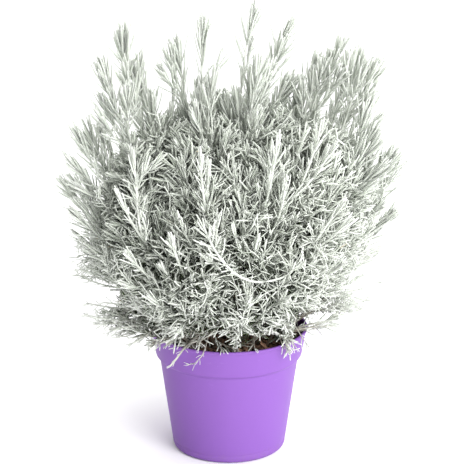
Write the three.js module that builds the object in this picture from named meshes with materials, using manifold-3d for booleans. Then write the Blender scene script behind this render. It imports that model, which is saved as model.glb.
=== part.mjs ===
// A silver needle-leaved cushion bush in a purple nursery pot.
// Millimetres, +Z up, origin in the middle of the pot's flat underside, the photographed side towards -Y.
// The pot is a thin lathed shell, the potting soil fills it, and every leafy stem is one solid: a slim
// three-sided core rooted in its own hole in the soil, with leaves raised from the core's facets.
import * as THREE from 'three';
import { mergeVertices } from 'three/addons/utils/BufferGeometryUtils.js';
import Module from 'manifold-3d';

const wasm = await Module();
wasm.setup();

// Driving dimensions of the pot
const potHeight = 105;
const rimRadius = 65;
const collarHeight = 24.5;
const collarFootRadius = 60.6;
const bodyTopRadius = 57.6;
const baseRadius = 46.4;
const baseRounding = 3.5;
const wall = 1.6;
const lipWidth = 2.4;
const lipHeight = 2.2;
const lipRounding = 0.9;
const stepSlope = 1.4;
const insideStepHeight = 3;
const potSides = 32;
const notchCount = 4;
const notchWidth = 13;
const notchHeight = 2.6;
const notchInnerEnd = 21;
const notchOuterEnd = 50;
const firstNotchAngle = THREE.MathUtils.degToRad(-142);
const drainRadius = 4;
const drainCircle = 37;
const drainSides = 8;

// Driving dimensions of the soil
const soilTop = 90;
const soilMound = 2.5;
const soilCrumb = 1.1;
const soilShoulder = 2;
const soilSides = 16;
const soilRings = [0.34, 0.62, 0.86];
const seatGap = 0.4;
const rootDepth = 11;
const footSpacing = 8.2;
const footCircle = 34;
const relaxRounds = 120;

// Driving dimensions of the stems: their thickness, and how they leave the soil and arrive at their tips
const stemFootRadius = 1.9;
const stemTipRadius = 1.2;
const startLeanShare = 0.6;
const startLeanLimit = 0.42;
const startReach = 0.42;
const endReach = 0.28;
const rimLift = 24;
const rimLiftLeans = [1.05, 1.5];

// Driving dimensions of the twigs, the one near a stem's end first and the lower one second:
// how far below the tip they leave, how far they reach along the stem and how far they stand from it
const twigFootRadius = 0.55;
const twigRadius = 1.2;
const topTwigDown = 66;
const topTwigShare = 0.5;
const lowTwigShare = 0.55;
const twigDownSpread = [9, 14];
const twigReach = [42, 66];
const twigReachShare = 0.72;
const twigReachSpread = 6;
const twigApart = [17, 25];
const twigApartSpread = 4;
const twigBend = { along: 0.42, outward: 0.95 };
const twigTurnStep = 2.6;
const twigTurns = [0, 0.9, -0.9, 1.8, -1.8, 2.7];

// Driving dimensions of the leaves and of the whorls they stand in. Whorls are measured down from
// the shoot's end, close together at the tip and further apart below.
const leafLength = 24;
const whorlHeight = 3.3;
const stemWhorls = [3.3, 6.6, 14, 28, 46];
const twigWhorls = [3.3, 6.6, 17];
const tipShare = 0.72;
const bareStep = 54;
const bareFoot = 8;
const whorlSpan = 50;
const leafOpening = [0.2, 0.82];
const leafOpeningSpread = 0.3;
const widestOpening = 1.25;
const leafLengthShare = [0.92, 0.8];
const leafLengthSpread = 0.14;
const leafSwingSpread = 0.15;
const leafPoint = 0.05;
const nodeGap = 0.4;
const shootGap = 0.15;
const potGap = 0.9;

// Where each stem on the plant's outline ends, read from the front:
// across, depth, height, and the lean of its last stretch to the right in degrees.
const outlineTips = [
  [-81, 10, 357, 8],
  [-102, -10, 335, -10],
  [-74, 35, 323, -8],
  [-42, 20, 344, -6],
  [-20, 8, 362, 6],
  [-11, -32, 330, 12],
  [21, 5, 374, 14],
  [26, -28, 340, 14],
  [53, 20, 358, 34],
  [72, 35, 326, 14],
  [93, 12, 345, 24],
  [106, 40, 326, 20],
  [122, 0, 330, 30],
  [121, 32, 293, 38],
  [122, -22, 272, 42],
  [143, 8, 242, 44],
  [136, -16, 206, 55],
  [126, 12, 168, 60],
  [122, -12, 130, 82],
  [90, -46, 128, 62],
  [-114, 20, 276, -8],
  [-125, -10, 277, -24],
  [-137, 10, 229, -30],
  [-127, -26, 212, -44],
  [-126, 6, 176, -58],
  [-123, -12, 158, -70],
  [-119, -30, 126, -55],
  [-96, -44, 116, -98],
];

// The same for the stems that come forward over the front of the pot.
const frontTips = [
  [-22, -112, 287, -2],
  [37, -106, 298, 3],
  [73, -84, 302, 14],
  [45, -106, 262, 8],
  [-6, -130, 244, 14],
  [-44, -127, 226, -3],
  [56, -118, 206, 22],
  [-85, -96, 251, -10],
  [89, -98, 243, 28],
  [-63, -101, 168, -30],
  [-80, -104, 205, -24],
  [90, -90, 191, 42],
  [16, -117, 172, 12],
];

// The sprig that hangs over the rim in front: its tip and the way it points.
const trailingTip = new THREE.Vector3(-48, -73, 96);
const trailingAim = new THREE.Vector3(-0.75, -0.3, -0.6);

// Stems that fill the back of the bush, row by row:
// lean from upright, how many, and how wide they fan out, in degrees.
const backRows = [
  [31, 3, 112],
  [47, 3, 104],
  [62, 3, 100],
  [77, 1, 0],
];

// How far the bush reaches from its crown at each lean from upright.
const reachByLean = [
  [0, 276],
  [20, 262],
  [35, 218],
  [50, 178],
  [65, 142],
  [90, 118],
];

const crown = new THREE.Vector3(0, 0, soilTop);
const up = new THREE.Vector3(0, 0, 1);

// A fixed draw from 0 to 1 for each pair of numbers, the same on every run.
function draw(which, what) {
  const wave = Math.sin(which * 12.9898 + what * 78.233) * 43758.5453;
  return wave - Math.floor(wave);
}

function spread(which, what, amount) {
  return (2 * draw(which, what) - 1) * amount;
}

function interpolate(table, at) {
  const next = table.findIndex(([x]) => x >= at);
  if (next < 0) return table[table.length - 1][1];
  if (next === 0) return table[0][1];
  const [x0, y0] = table[next - 1];
  const [x1, y1] = table[next];
  return y0 + ((at - x0) / (x1 - x0)) * (y1 - y0);
}

function toSolid(geometry) {
  const bare = geometry.index ? geometry.toNonIndexed() : geometry.clone();
  bare.deleteAttribute('normal');
  bare.deleteAttribute('uv');
  const merged = mergeVertices(bare, 1e-3);
  return new wasm.Manifold(
    new wasm.Mesh({
      numProp: 3,
      vertProperties: new Float32Array(merged.attributes.position.array),
      triVerts: new Uint32Array(merged.index.array),
    }),
  );
}

function toGeometry(solid) {
  const mesh = solid.getMesh();
  const geometry = new THREE.BufferGeometry();
  geometry.setAttribute('position', new THREE.BufferAttribute(new Float32Array(mesh.vertProperties), 3));
  geometry.setIndex(new THREE.BufferAttribute(new Uint32Array(mesh.triVerts), 1));
  geometry.computeVertexNormals();
  return geometry;
}

function solidOfFacets(facets) {
  const numbers = new Map();
  for (const point of facets.flat()) {
    if (!numbers.has(point)) numbers.set(point, numbers.size);
  }
  return new wasm.Manifold(
    new wasm.Mesh({
      numProp: 3,
      vertProperties: new Float32Array([...numbers.keys()].flatMap((p) => p.toArray())),
      triVerts: new Uint32Array(facets.flat().map((p) => numbers.get(p))),
    }),
  );
}

// Pot

const insideStepRadius = bodyTopRadius - wall;
const collarFoot = potHeight - collarHeight;
const potFloor = notchHeight + wall;

function outerRadius(z) {
  if (z > collarFoot) {
    return THREE.MathUtils.mapLinear(z, collarFoot, potHeight, collarFootRadius, rimRadius);
  }
  return THREE.MathUtils.mapLinear(z, 0, collarFoot, baseRadius, bodyTopRadius);
}

function innerRadius(z) {
  return z > collarFoot ? outerRadius(z) - wall : Math.min(outerRadius(z) - wall, insideStepRadius);
}

function makePot() {
  const profile = [
    [0, 0],
    [baseRadius - baseRounding, 0],
    [baseRadius - baseRounding / 6, baseRounding / 3],
    [outerRadius(1.3 * baseRounding), 1.3 * baseRounding],
    [bodyTopRadius, collarFoot - stepSlope],
    [collarFootRadius, collarFoot + stepSlope],
    [rimRadius - lipRounding, potHeight - lipHeight],
    [rimRadius, potHeight - lipRounding],
    [rimRadius - lipRounding, potHeight],
    [rimRadius - lipWidth, potHeight],
    [innerRadius(potHeight - lipHeight), potHeight - lipHeight],
    [innerRadius(collarFoot + insideStepHeight), collarFoot + insideStepHeight],
    [insideStepRadius, collarFoot],
    [innerRadius(potFloor), potFloor],
    [0, potFloor],
  ].map(([r, z]) => new THREE.Vector2(r, z));
  const lathe = new THREE.LatheGeometry(profile, potSides);
  lathe.rotateX(Math.PI / 2);
  let pot = toSolid(lathe);
  for (let i = 0; i < notchCount; i++) {
    const angle = firstNotchAngle + (i * 2 * Math.PI) / notchCount;
    const notch = new THREE.BoxGeometry(notchOuterEnd - notchInnerEnd, notchWidth, 2 * notchHeight);
    notch.translate((notchInnerEnd + notchOuterEnd) / 2, 0, 0);
    notch.rotateZ(angle);
    pot = pot.subtract(toSolid(notch));
    const drain = new THREE.CylinderGeometry(drainRadius, drainRadius, 4 * potFloor, drainSides);
    drain.rotateX(Math.PI / 2);
    drain.translate(drainCircle * Math.cos(angle), drainCircle * Math.sin(angle), 0);
    pot = pot.subtract(toSolid(drain));
  }
  return pot;
}

// Soil

// The waves whose sum makes the lumps: turns per millimetre across and in depth, start, and height.
const lumpWaves = [
  [0.37, 0.41, 0.7, 0.5],
  [0.37, -0.41, 1.9, 0.5],
  [0.83, -0.59, 0, 0.6],
];
const lumpLimit = lumpWaves.reduce((sum, [, , , height]) => sum + height, 0);
const soilCeiling = soilTop + soilMound + lumpLimit * soilCrumb;

// The crumbly surface: a low mound with lumps, level where it meets the pot.
function soilHeight(x, y) {
  const share = Math.hypot(x, y) / innerRadius(soilTop);
  const lumps = lumpWaves
    .map(([a, b, start, height]) => height * Math.sin(a * x + b * y + start))
    .reduce((sum, height) => sum + height);
  return soilTop + soilMound * (1 - share * share) + soilCrumb * lumps * (1 - share ** 4);
}

function makeSoil() {
  const topRadius = innerRadius(soilTop) - seatGap;
  const floor = potFloor + seatGap;
  const profile = [
    [0, floor],
    [innerRadius(floor) - seatGap, floor],
    [insideStepRadius - seatGap, collarFoot],
    [insideStepRadius - seatGap, collarFoot + soilShoulder],
    [topRadius, soilTop],
    ...soilRings.toReversed().map((share) => [topRadius * share, soilTop]),
    [0, soilTop],
  ].map(([r, z]) => new THREE.Vector2(r, z));
  const lathe = new THREE.LatheGeometry(profile, soilSides);
  lathe.rotateX(Math.PI / 2);
  const position = lathe.attributes.position;
  for (let i = 0; i < position.count; i++) {
    if (position.getZ(i) > soilTop - 0.01) {
      position.setZ(i, soilHeight(position.getX(i), position.getY(i)));
    }
  }
  return toSolid(lathe);
}

// Stems: their tips, their feet in the soil and the curve between

// The last stretch of a stem leans forward or back with its depth, more so low on the plant.
const depthOfFullLean = 140;
const lowLean = 1.2;
const leanFadeHeight = 300;

function tipStems(tips, firstKey) {
  return tips.map(([x, y, z, lean], i) => {
    const a = THREE.MathUtils.degToRad(lean);
    const forward = (y / depthOfFullLean) * (lowLean - (z - crown.z) / leanFadeHeight);
    return {
      tip: new THREE.Vector3(x, y, z),
      aim: new THREE.Vector3(Math.sin(a), forward, Math.cos(a)).normalize(),
      key: firstKey + i,
    };
  });
}

const rowStagger = 0.07;
const fanSpread = 0.1;
const leanSpread = 4;
const reachSpread = 0.07;
const backAimLift = 0.6;

function backStems(firstKey) {
  const stems = [];
  backRows.forEach(([lean, count, fan], row) => {
    for (let i = 0; i < count; i++) {
      const key = firstKey + stems.length;
      const share = count > 1 ? i / (count - 1) - 0.5 : 0;
      const turn = (share + (row % 2 ? rowStagger : -rowStagger)) * THREE.MathUtils.degToRad(fan);
      const azimuth = Math.PI / 2 + turn + spread(key, 1, fanSpread);
      const tilt = THREE.MathUtils.degToRad(lean + spread(key, 2, leanSpread));
      const reach = interpolate(reachByLean, lean) * (1 + spread(key, 3, reachSpread));
      const outward = new THREE.Vector3(Math.cos(azimuth), Math.sin(azimuth), 0);
      const way = outward.multiplyScalar(Math.sin(tilt)).addScaledVector(up, Math.cos(tilt));
      stems.push({
        tip: crown.clone().addScaledVector(way, reach),
        aim: way.clone().addScaledVector(up, backAimLift * Math.cos(tilt)).normalize(),
        key,
      });
    }
  });
  return stems;
}

// Feet start in the soil in the order of the tips, leaning ones further out, and are eased apart.
function placeFeet(stems) {
  for (const stem of stems) {
    stem.lean = Math.atan2(Math.hypot(stem.tip.x, stem.tip.y), stem.tip.z - crown.z);
  }
  const byLean = [...stems].sort((a, b) => a.lean - b.lean);
  byLean.forEach((stem, i) => {
    const flat = new THREE.Vector2(stem.tip.x, stem.tip.y);
    flat.setLength(footCircle * Math.sqrt((i + 0.5) / stems.length));
    stem.foot = new THREE.Vector3(flat.x, flat.y, soilTop - rootDepth);
  });
  for (let round = 0; round < relaxRounds; round++) {
    stems.forEach((a, i) => {
      stems.slice(i + 1).forEach((b) => {
        const apart = new THREE.Vector3().subVectors(b.foot, a.foot);
        const lack = footSpacing - apart.length();
        if (lack > 0) {
          apart.setLength(lack / 2);
          a.foot.sub(apart);
          b.foot.add(apart);
        }
      });
    });
    for (const stem of stems) {
      const r = Math.hypot(stem.foot.x, stem.foot.y);
      if (r > footCircle) {
        stem.foot.x *= footCircle / r;
        stem.foot.y *= footCircle / r;
      }
    }
  }
}

// Low stems rise further before they arch out over the rim.
function stemCurve(stem) {
  const outward = new THREE.Vector3(stem.tip.x, stem.tip.y, 0).normalize();
  const startLean = Math.min(stem.lean * startLeanShare, startLeanLimit);
  const start = up.clone().multiplyScalar(Math.cos(startLean)).addScaledVector(outward, Math.sin(startLean));
  const span = stem.foot.distanceTo(stem.tip);
  const lift = rimLift * THREE.MathUtils.smoothstep(stem.lean, ...rimLiftLeans);
  return new THREE.CubicBezierCurve3(
    stem.foot,
    stem.foot.clone().addScaledVector(start, span * startReach + lift),
    stem.tip.clone().addScaledVector(stem.aim, -span * endReach),
    stem.tip,
  );
}

// Each stem has two twigs; both bend back to grow beside it.
function twigCurve(stem, i, turn) {
  const key = twigKey(stem, i);
  const length = stem.curve.getLength();
  const down = i ? length * lowTwigShare : Math.min(topTwigDown, length * topTwigShare);
  const fromTip = down + spread(key, 4, twigDownSpread[i]);
  const at = 1 - fromTip / length;
  const start = coreCentre(stem.shoots[0], length - fromTip);
  const along = stem.curve.getTangentAt(at);
  const ahead = stem.curve.getTangentAt((1 + at) / 2);
  const across = new THREE.Vector3().crossVectors(along, stem.side).normalize();
  const angle = draw(stem.key, 5) * 2 * Math.PI + i * twigTurnStep + turn;
  const outward = stem.side.clone().multiplyScalar(Math.cos(angle)).addScaledVector(across, Math.sin(angle));
  const reach = Math.min(twigReach[i], fromTip * twigReachShare) + spread(key, 6, twigReachSpread);
  const apart = twigApart[i] + spread(key, 7, twigApartSpread);
  return new THREE.QuadraticBezierCurve3(
    start,
    start
      .clone()
      .addScaledVector(along, reach * twigBend.along)
      .addScaledVector(outward, apart * twigBend.outward),
    start.clone().addScaledVector(ahead, reach).addScaledVector(outward, apart),
  );
}

function twigKey(stem, i) {
  return stem.key * 10 + i;
}

// Clearance: every core and leaf is a straight tapering piece, and no two stems' pieces may meet

const cell = 11;
const parallel = 1e-9;

// The room between two tapering pieces, less than nothing where they meet.
function closest(a, b) {
  const d1 = new THREE.Vector3().subVectors(a.to, a.from);
  const d2 = new THREE.Vector3().subVectors(b.to, b.from);
  const r = new THREE.Vector3().subVectors(a.from, b.from);
  const [aa, ee, ff] = [d1.dot(d1), d2.dot(d2), d2.dot(r)];
  const [cc, bb] = [d1.dot(r), d1.dot(d2)];
  const limit = (v) => THREE.MathUtils.clamp(v, 0, 1);
  const depth = aa * ee - bb * bb;
  let s = depth > parallel ? limit((bb * ff - cc * ee) / depth) : 0;
  let t = (bb * s + ff) / ee;
  if (t < 0) s = limit(-cc / aa);
  if (t > 1) s = limit((bb - cc) / aa);
  t = limit(t);
  const gap = r.addScaledVector(d1, s).addScaledVector(d2, -t).length();
  const thick = (p, k) => p.thickFrom + (p.thickTo - p.thickFrom) * k;
  return gap - thick(a, s) - thick(b, t);
}

class Thicket {
  constructor() {
    this.cells = new Map();
  }

  keys(piece) {
    const found = new Set();
    const steps = Math.ceil(piece.from.distanceTo(piece.to) / (cell / 2));
    for (let i = 0; i <= steps; i++) {
      const p = piece.from.clone().lerp(piece.to, i / steps).divideScalar(cell).floor();
      found.add(`${p.x},${p.y},${p.z}`);
    }
    return found;
  }

  add(piece) {
    for (const key of this.keys(piece)) {
      if (!this.cells.has(key)) this.cells.set(key, []);
      this.cells.get(key).push(piece);
    }
  }

  near(piece) {
    const found = new Set();
    for (const key of this.keys(piece)) {
      const [x, y, z] = key.split(',').map(Number);
      for (const dx of [-1, 0, 1]) {
        for (const dy of [-1, 0, 1]) {
          for (const dz of [-1, 0, 1]) {
            for (const other of this.cells.get(`${x + dx},${y + dy},${z + dz}`) ?? []) found.add(other);
          }
        }
      }
    }
    return found;
  }

  clears(piece) {
    for (const other of this.near(piece)) {
      if (other.shoot === piece.shoot || (piece.joins && other.stem === piece.stem)) continue;
      if (closest(piece, other) < (other.stem === piece.stem ? shootGap : nodeGap)) return false;
    }
    return true;
  }
}

const samplesPerPiece = 8;

// Whether a piece stays above the soil inside the pot, above the rim, or outside the pot.
function clearsPot(piece) {
  const rimInside = rimRadius - 2 * lipWidth;
  for (let i = 0; i <= samplesPerPiece; i++) {
    const share = i / samplesPerPiece;
    const p = piece.from.clone().lerp(piece.to, share);
    const r = Math.hypot(p.x, p.y);
    const room = potGap + piece.thickFrom * (1 - share);
    if (p.z < room) return false;
    if (r < rimInside && p.z < soilCeiling + room) return false;
    if (r > rimInside - room && r < rimRadius + room && p.z < potHeight + room) return false;
  }
  return true;
}

// A leafy shoot: rings of three points up its core, with a leaf raised from each facet of a whorl

const third = (2 * Math.PI) / 3;

function frameAt(shoot, distance) {
  const u = THREE.MathUtils.clamp(distance / shoot.length, 0, 1);
  const along = shoot.curve.getTangentAt(u);
  const across = new THREE.Vector3().crossVectors(along, shoot.side).normalize();
  const side = new THREE.Vector3().crossVectors(across, along);
  return { centre: shoot.curve.getPointAt(u), along, across, side };
}

function ringPoint(frame, radius, angle) {
  return frame.centre
    .clone()
    .addScaledVector(frame.side, radius * Math.cos(angle))
    .addScaledVector(frame.across, radius * Math.sin(angle));
}

// The rings of a shoot: bare ones up to the whorls, then the foot and the head of each whorl.
function planShoot(shoot, whorls, footRadius, coreRadius) {
  const rings = [];
  const radiusAt = (d) => THREE.MathUtils.mapLinear(d, 0, shoot.end, shoot.rootRadius, coreRadius);
  const first = shoot.buried ? rootDepth + bareFoot : bareFoot;
  rings.push({ at: 0, radius: footRadius, turn: 0, leafy: false });
  rings.push({ at: first, radius: radiusAt(first), turn: 0, leafy: false });
  const bare = shoot.end - whorls[whorls.length - 1] - first;
  const steps = Math.ceil(bare / bareStep);
  for (let i = 1; i < steps; i++) {
    const at = first + (bare * i) / steps;
    rings.push({ at, radius: radiusAt(at), turn: 0, leafy: false });
  }
  let turn = 0;
  for (const down of whorls.toReversed()) {
    const at = shoot.end - down;
    const previous = rings[rings.length - 1];
    if (at < first + whorlHeight) continue;
    if (at - previous.at > whorlHeight / 6) rings.push({ at, radius: radiusAt(at), turn, leafy: true });
    else previous.leafy = true;
    turn += third / 2;
    rings.push({ at: at + whorlHeight, radius: radiusAt(at + whorlHeight), turn, leafy: false });
  }
  return rings;
}

// A leaf that would meet another is swung sideways, then opened or closed, then shortened.
const leafSwings = [0, 0.25, -0.25, 0.5, -0.5];
const leafSpreads = [1, 0.75, 1.25, 0.5, 1.6];
const leafShares = [1, 0.86, 0.72];

const axis = new THREE.Line3();
const ray = new THREE.Ray();
const hit = new THREE.Vector3();

const touch = 0.01;
const graze = 0.05;

// Whether the line from p to q passes through a triangle anywhere but at a corner they share.
function pierces(p, q, triangle) {
  ray.set(p, new THREE.Vector3().subVectors(q, p).normalize());
  if (!ray.intersectTriangle(...triangle, false, hit)) return false;
  const far = hit.distanceTo(p);
  const left = p.distanceTo(q) - far;
  return far > (triangle.includes(p) ? touch : 0) && left > (triangle.includes(q) ? touch : -graze);
}

function boxOf(points) {
  return new THREE.Box3().setFromPoints(points);
}

function facetsCross(a, b) {
  return [0, 1, 2].some((i) => pierces(a[i], a[(i + 1) % 3], b) || pierces(b[i], b[(i + 1) % 3], a));
}

// Whether a leaf raised from a facet to a tip stays clear of the rest of its own shoot.
function clearsShoot(skin, facet, tip) {
  const sides = facet.map((p, i) => [p, facet[(i + 1) % 3], tip]);
  const box = boxOf([...facet, tip]);
  return skin.every((other) => {
    if (!box.intersectsBox(other.box)) return true;
    const shared = facet.filter((p) => other.facet.includes(p)).length;
    if (shared === 3) return true;
    return sides.every((side) => {
      if (side.filter((p) => other.facet.includes(p)).length > 1) return true;
      return !facetsCross(side, other.facet);
    });
  });
}

function placeLeaf(shoot, base, skin, frame, whorlShare, key, thicket) {
  const centre = base[0].clone().add(base[1]).add(base[2]).divideScalar(3);
  const radial = centre.clone().sub(frame.centre);
  radial.addScaledVector(frame.along, -radial.dot(frame.along)).normalize();
  const opening = THREE.MathUtils.lerp(...leafOpening, whorlShare) * (1 + spread(key, 8, leafOpeningSpread));
  const lengthShare = THREE.MathUtils.lerp(...leafLengthShare, whorlShare);
  const length = leafLength * (lengthShare + spread(key, 9, leafLengthSpread));
  for (const share of leafShares) {
    for (const factor of leafSpreads) {
      for (const swing of leafSwings) {
        const out = radial.clone().applyAxisAngle(frame.along, swing + spread(key, 10, leafSwingSpread));
        const angle = Math.min(opening * factor, widestOpening);
        const way = frame.along.clone().multiplyScalar(Math.cos(angle)).addScaledVector(out, Math.sin(angle));
        const piece = {
          from: centre,
          to: centre.clone().addScaledVector(way, length * share),
          thickTo: leafPoint,
          shoot,
          stem: shoot.stem,
        };
        axis.set(piece.from, piece.to);
        const reach = base.map((p) => axis.closestPointToPoint(p, false, hit).distanceTo(p));
        piece.thickFrom = Math.max(...reach);
        if (clearsPot(piece) && thicket.clears(piece) && clearsShoot(skin, base, piece.to)) {
          thicket.add(piece);
          return piece.to;
        }
      }
    }
  }
  return null;
}

const drawsPerShoot = 61;
const drawsPerBand = 6;

// The shoot's skin as facets: first its bare core, then each leafy facet raised to a leaf's tip.
function growShoot(shoot, thicket) {
  const { rings } = shoot;
  const frames = rings.map((ring) => frameAt(shoot, ring.at));
  const corners = rings.map((ring, k) =>
    [0, 1, 2].map((j) => ringPoint(frames[k], ring.radius, ring.turn + j * third)),
  );
  const apex = shoot.curve.getPointAt(1);
  const skin = [];
  const cover = (facet, grows) => skin.push({ facet, box: boxOf(facet), grows });
  cover([corners[0][0], corners[0][2], corners[0][1]]);
  rings.slice(0, -1).forEach((ring, k) => {
    for (let j = 0; j < 3; j++) {
      const [a, b] = [corners[k][j], corners[k][(j + 1) % 3]];
      const [c, d] = [corners[k + 1][j], corners[k + 1][(j + 1) % 3]];
      if (ring.leafy) {
        const key = shoot.key * drawsPerShoot + k * drawsPerBand + 2 * j;
        cover([a, b, c], { k, key });
        cover([c, b, d], { k, key: key + 1 });
      } else {
        cover([a, b, d]);
        cover([a, d, c]);
      }
    }
  });
  const last = corners[corners.length - 1];
  for (let j = 0; j < 3; j++) cover([last[j], last[(j + 1) % 3], apex]);
  for (const { facet, grows } of skin.filter((part) => part.grows)) {
    const whorlShare = THREE.MathUtils.clamp((shoot.end - rings[grows.k].at) / whorlSpan, 0, 1);
    const tip = placeLeaf(shoot, facet, skin, frames[grows.k], whorlShare, grows.key, thicket);
    if (!tip) continue;
    skin.splice(skin.findIndex((part) => part.facet === facet), 1);
    facet.forEach((p, i) => cover([p, facet[(i + 1) % 3], tip]));
  }
  return solidOfFacets(skin.map((part) => part.facet));
}

// The middle of the core a distance along it, on the straight line between its rings.
function coreCentre(shoot, distance) {
  const k = shoot.rings.findLastIndex((ring, i) => ring.at <= distance && i < shoot.rings.length - 1);
  const [low, high] = [shoot.rings[k], shoot.rings[k + 1]];
  const share = (distance - low.at) / (high.at - low.at);
  return frameAt(shoot, low.at).centre.lerp(frameAt(shoot, high.at).centre, share);
}

// The straight pieces of a shoot's core, the last of them its pointed end.
function corePieces(shoot) {
  const knots = shoot.rings.map((ring) => ({ at: frameAt(shoot, ring.at).centre, radius: ring.radius }));
  knots.push({ at: shoot.curve.getPointAt(1), radius: leafPoint });
  return knots.slice(1).map((knot, k) => ({
    from: knots[k].at,
    to: knot.at,
    thickFrom: knots[k].radius,
    thickTo: knot.radius,
    shoot,
    stem: shoot.stem,
  }));
}

function makeShoot(curve, stem, key, whorls, buried) {
  const shoot = { curve, side: stem.side, stem, key, buried, length: curve.getLength() };
  shoot.rootRadius = buried ? stemFootRadius : twigRadius;
  shoot.end = shoot.length - leafLength * tipShare;
  const footRadius = buried ? stemFootRadius : twigFootRadius;
  shoot.rings = planShoot(shoot, whorls, footRadius, buried ? stemTipRadius : twigRadius);
  return shoot;
}

const trailingStem = { tip: trailingTip, aim: trailingAim.clone().normalize(), key: 90 };
const stems = [...tipStems(outlineTips, 1), ...tipStems(frontTips, 60), trailingStem, ...backStems(100)];
placeFeet(stems);
const thicket = new Thicket();
for (const stem of stems) {
  stem.curve = stemCurve(stem);
  stem.side = new THREE.Vector3(-stem.tip.y, stem.tip.x, 0).normalize();
  stem.shoots = [makeShoot(stem.curve, stem, stem.key, stemWhorls, true)];
  corePieces(stem.shoots[0]).forEach((piece) => thicket.add(piece));
}

// A twig takes the first turn about its stem that keeps it clear of the pot and of what already grows.
function placeTwig(stem, i) {
  for (const turn of twigTurns) {
    const twig = makeShoot(twigCurve(stem, i, turn), stem, twigKey(stem, i), twigWhorls, false);
    const pieces = corePieces(twig);
    pieces[0].joins = true;
    if (pieces.every((piece) => clearsPot(piece) && thicket.clears(piece))) {
      pieces.forEach((piece) => thicket.add(piece));
      stem.shoots.push(twig);
      return;
    }
  }
}

for (const i of twigReach.keys()) {
  for (const stem of stems) placeTwig(stem, i);
}

const leafGreen = new THREE.MeshStandardMaterial({ color: 0xc9d1c8, roughness: 0.92, metalness: 0 });
const potPurple = new THREE.MeshStandardMaterial({ color: 0x8a52c8, roughness: 0.48, metalness: 0 });
const soilBrown = new THREE.MeshStandardMaterial({ color: 0x3d2a20, roughness: 0.97, metalness: 0 });

function named(name, solid, material) {
  const mesh = new THREE.Mesh(toGeometry(solid), material);
  mesh.name = name;
  return mesh;
}

// The hole that a stem's buried foot stands in, wider than the foot all round and a little deeper.
function footHole(stem) {
  const shoot = stem.shoots[0];
  const [low, high] = shoot.rings;
  const [a, b] = [frameAt(shoot, low.at), frameAt(shoot, high.at)];
  a.centre.addScaledVector(new THREE.Vector3().subVectors(a.centre, b.centre).normalize(), seatGap);
  const [bottom, top] = [[a, low], [b, high]].map(([frame, ring]) =>
    [0, 1, 2].map((j) => ringPoint(frame, ring.radius + 2 * seatGap, ring.turn + j * third)),
  );
  const facets = [[bottom[0], bottom[2], bottom[1]], [top[0], top[1], top[2]]];
  for (let j = 0; j < 3; j++) {
    const next = (j + 1) % 3;
    facets.push([bottom[j], bottom[next], top[next]], [bottom[j], top[next], top[j]]);
  }
  return solidOfFacets(facets);
}

const bush = new THREE.Group();
bush.add(named('pot', makePot(), potPurple));
let soil = makeSoil();
for (const stem of stems) soil = soil.subtract(footHole(stem));
bush.add(named('soil', soil, soilBrown));
stems.forEach((stem, i) => {
  const grown = stem.shoots.map((shoot) => growShoot(shoot, thicket));
  const solid = grown.reduce((whole, part) => whole.add(part));
  bush.add(named(`leafy_stem_${String(i + 1).padStart(2, '0')}`, solid, leafGreen));
});

export default bush;
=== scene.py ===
"""A silver needle-leaved cushion bush in a purple nursery pot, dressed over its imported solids.

The file is laid out as an add-on: settings, one operator for each kind of piece and one for the stage, and a
panel. Run as a script it builds everything once. The bush is planned in millimetres; pieces are in metres.
"""

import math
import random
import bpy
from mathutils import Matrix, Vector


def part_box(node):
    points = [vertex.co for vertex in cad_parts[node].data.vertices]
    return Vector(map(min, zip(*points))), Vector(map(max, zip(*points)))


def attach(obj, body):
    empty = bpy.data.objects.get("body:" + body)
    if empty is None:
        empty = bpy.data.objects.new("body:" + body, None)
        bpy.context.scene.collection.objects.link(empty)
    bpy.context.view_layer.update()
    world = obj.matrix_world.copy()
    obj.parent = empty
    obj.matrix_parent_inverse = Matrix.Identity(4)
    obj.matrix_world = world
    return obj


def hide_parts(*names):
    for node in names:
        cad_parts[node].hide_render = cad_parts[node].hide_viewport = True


bl_info = {
    "name": "Potted Cushion Bush",
    "version": (1, 0, 0),
    "blender": (4, 5, 0),
    "location": "View3D > Sidebar > Bush",
    "description": "Builds a silver needle-leaved bush in a purple nursery pot",
    "category": "Add Mesh",
}

import bmesh
import bpy
from bpy.props import FloatProperty, FloatVectorProperty, IntProperty, PointerProperty
from bpy.types import Operator, Panel, PropertyGroup
from mathutils import Matrix, Vector, noise
from mathutils.kdtree import KDTree

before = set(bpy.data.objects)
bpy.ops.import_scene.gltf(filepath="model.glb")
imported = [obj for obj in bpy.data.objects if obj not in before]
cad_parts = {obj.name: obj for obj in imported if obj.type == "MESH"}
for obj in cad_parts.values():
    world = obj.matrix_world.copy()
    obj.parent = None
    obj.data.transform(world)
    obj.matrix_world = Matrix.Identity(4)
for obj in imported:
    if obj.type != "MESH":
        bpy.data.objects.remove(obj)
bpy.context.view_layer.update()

MM = 0.001
UP = Vector((0, 0, 1))
GOLDEN = math.pi * (3 - math.sqrt(5))

POT_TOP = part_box("pot")[1].z
RIM_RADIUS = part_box("pot")[1].x
SOIL_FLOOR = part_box("soil")[0].z
STEM_NODES = sorted(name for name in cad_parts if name.startswith("leafy_stem"))

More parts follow.
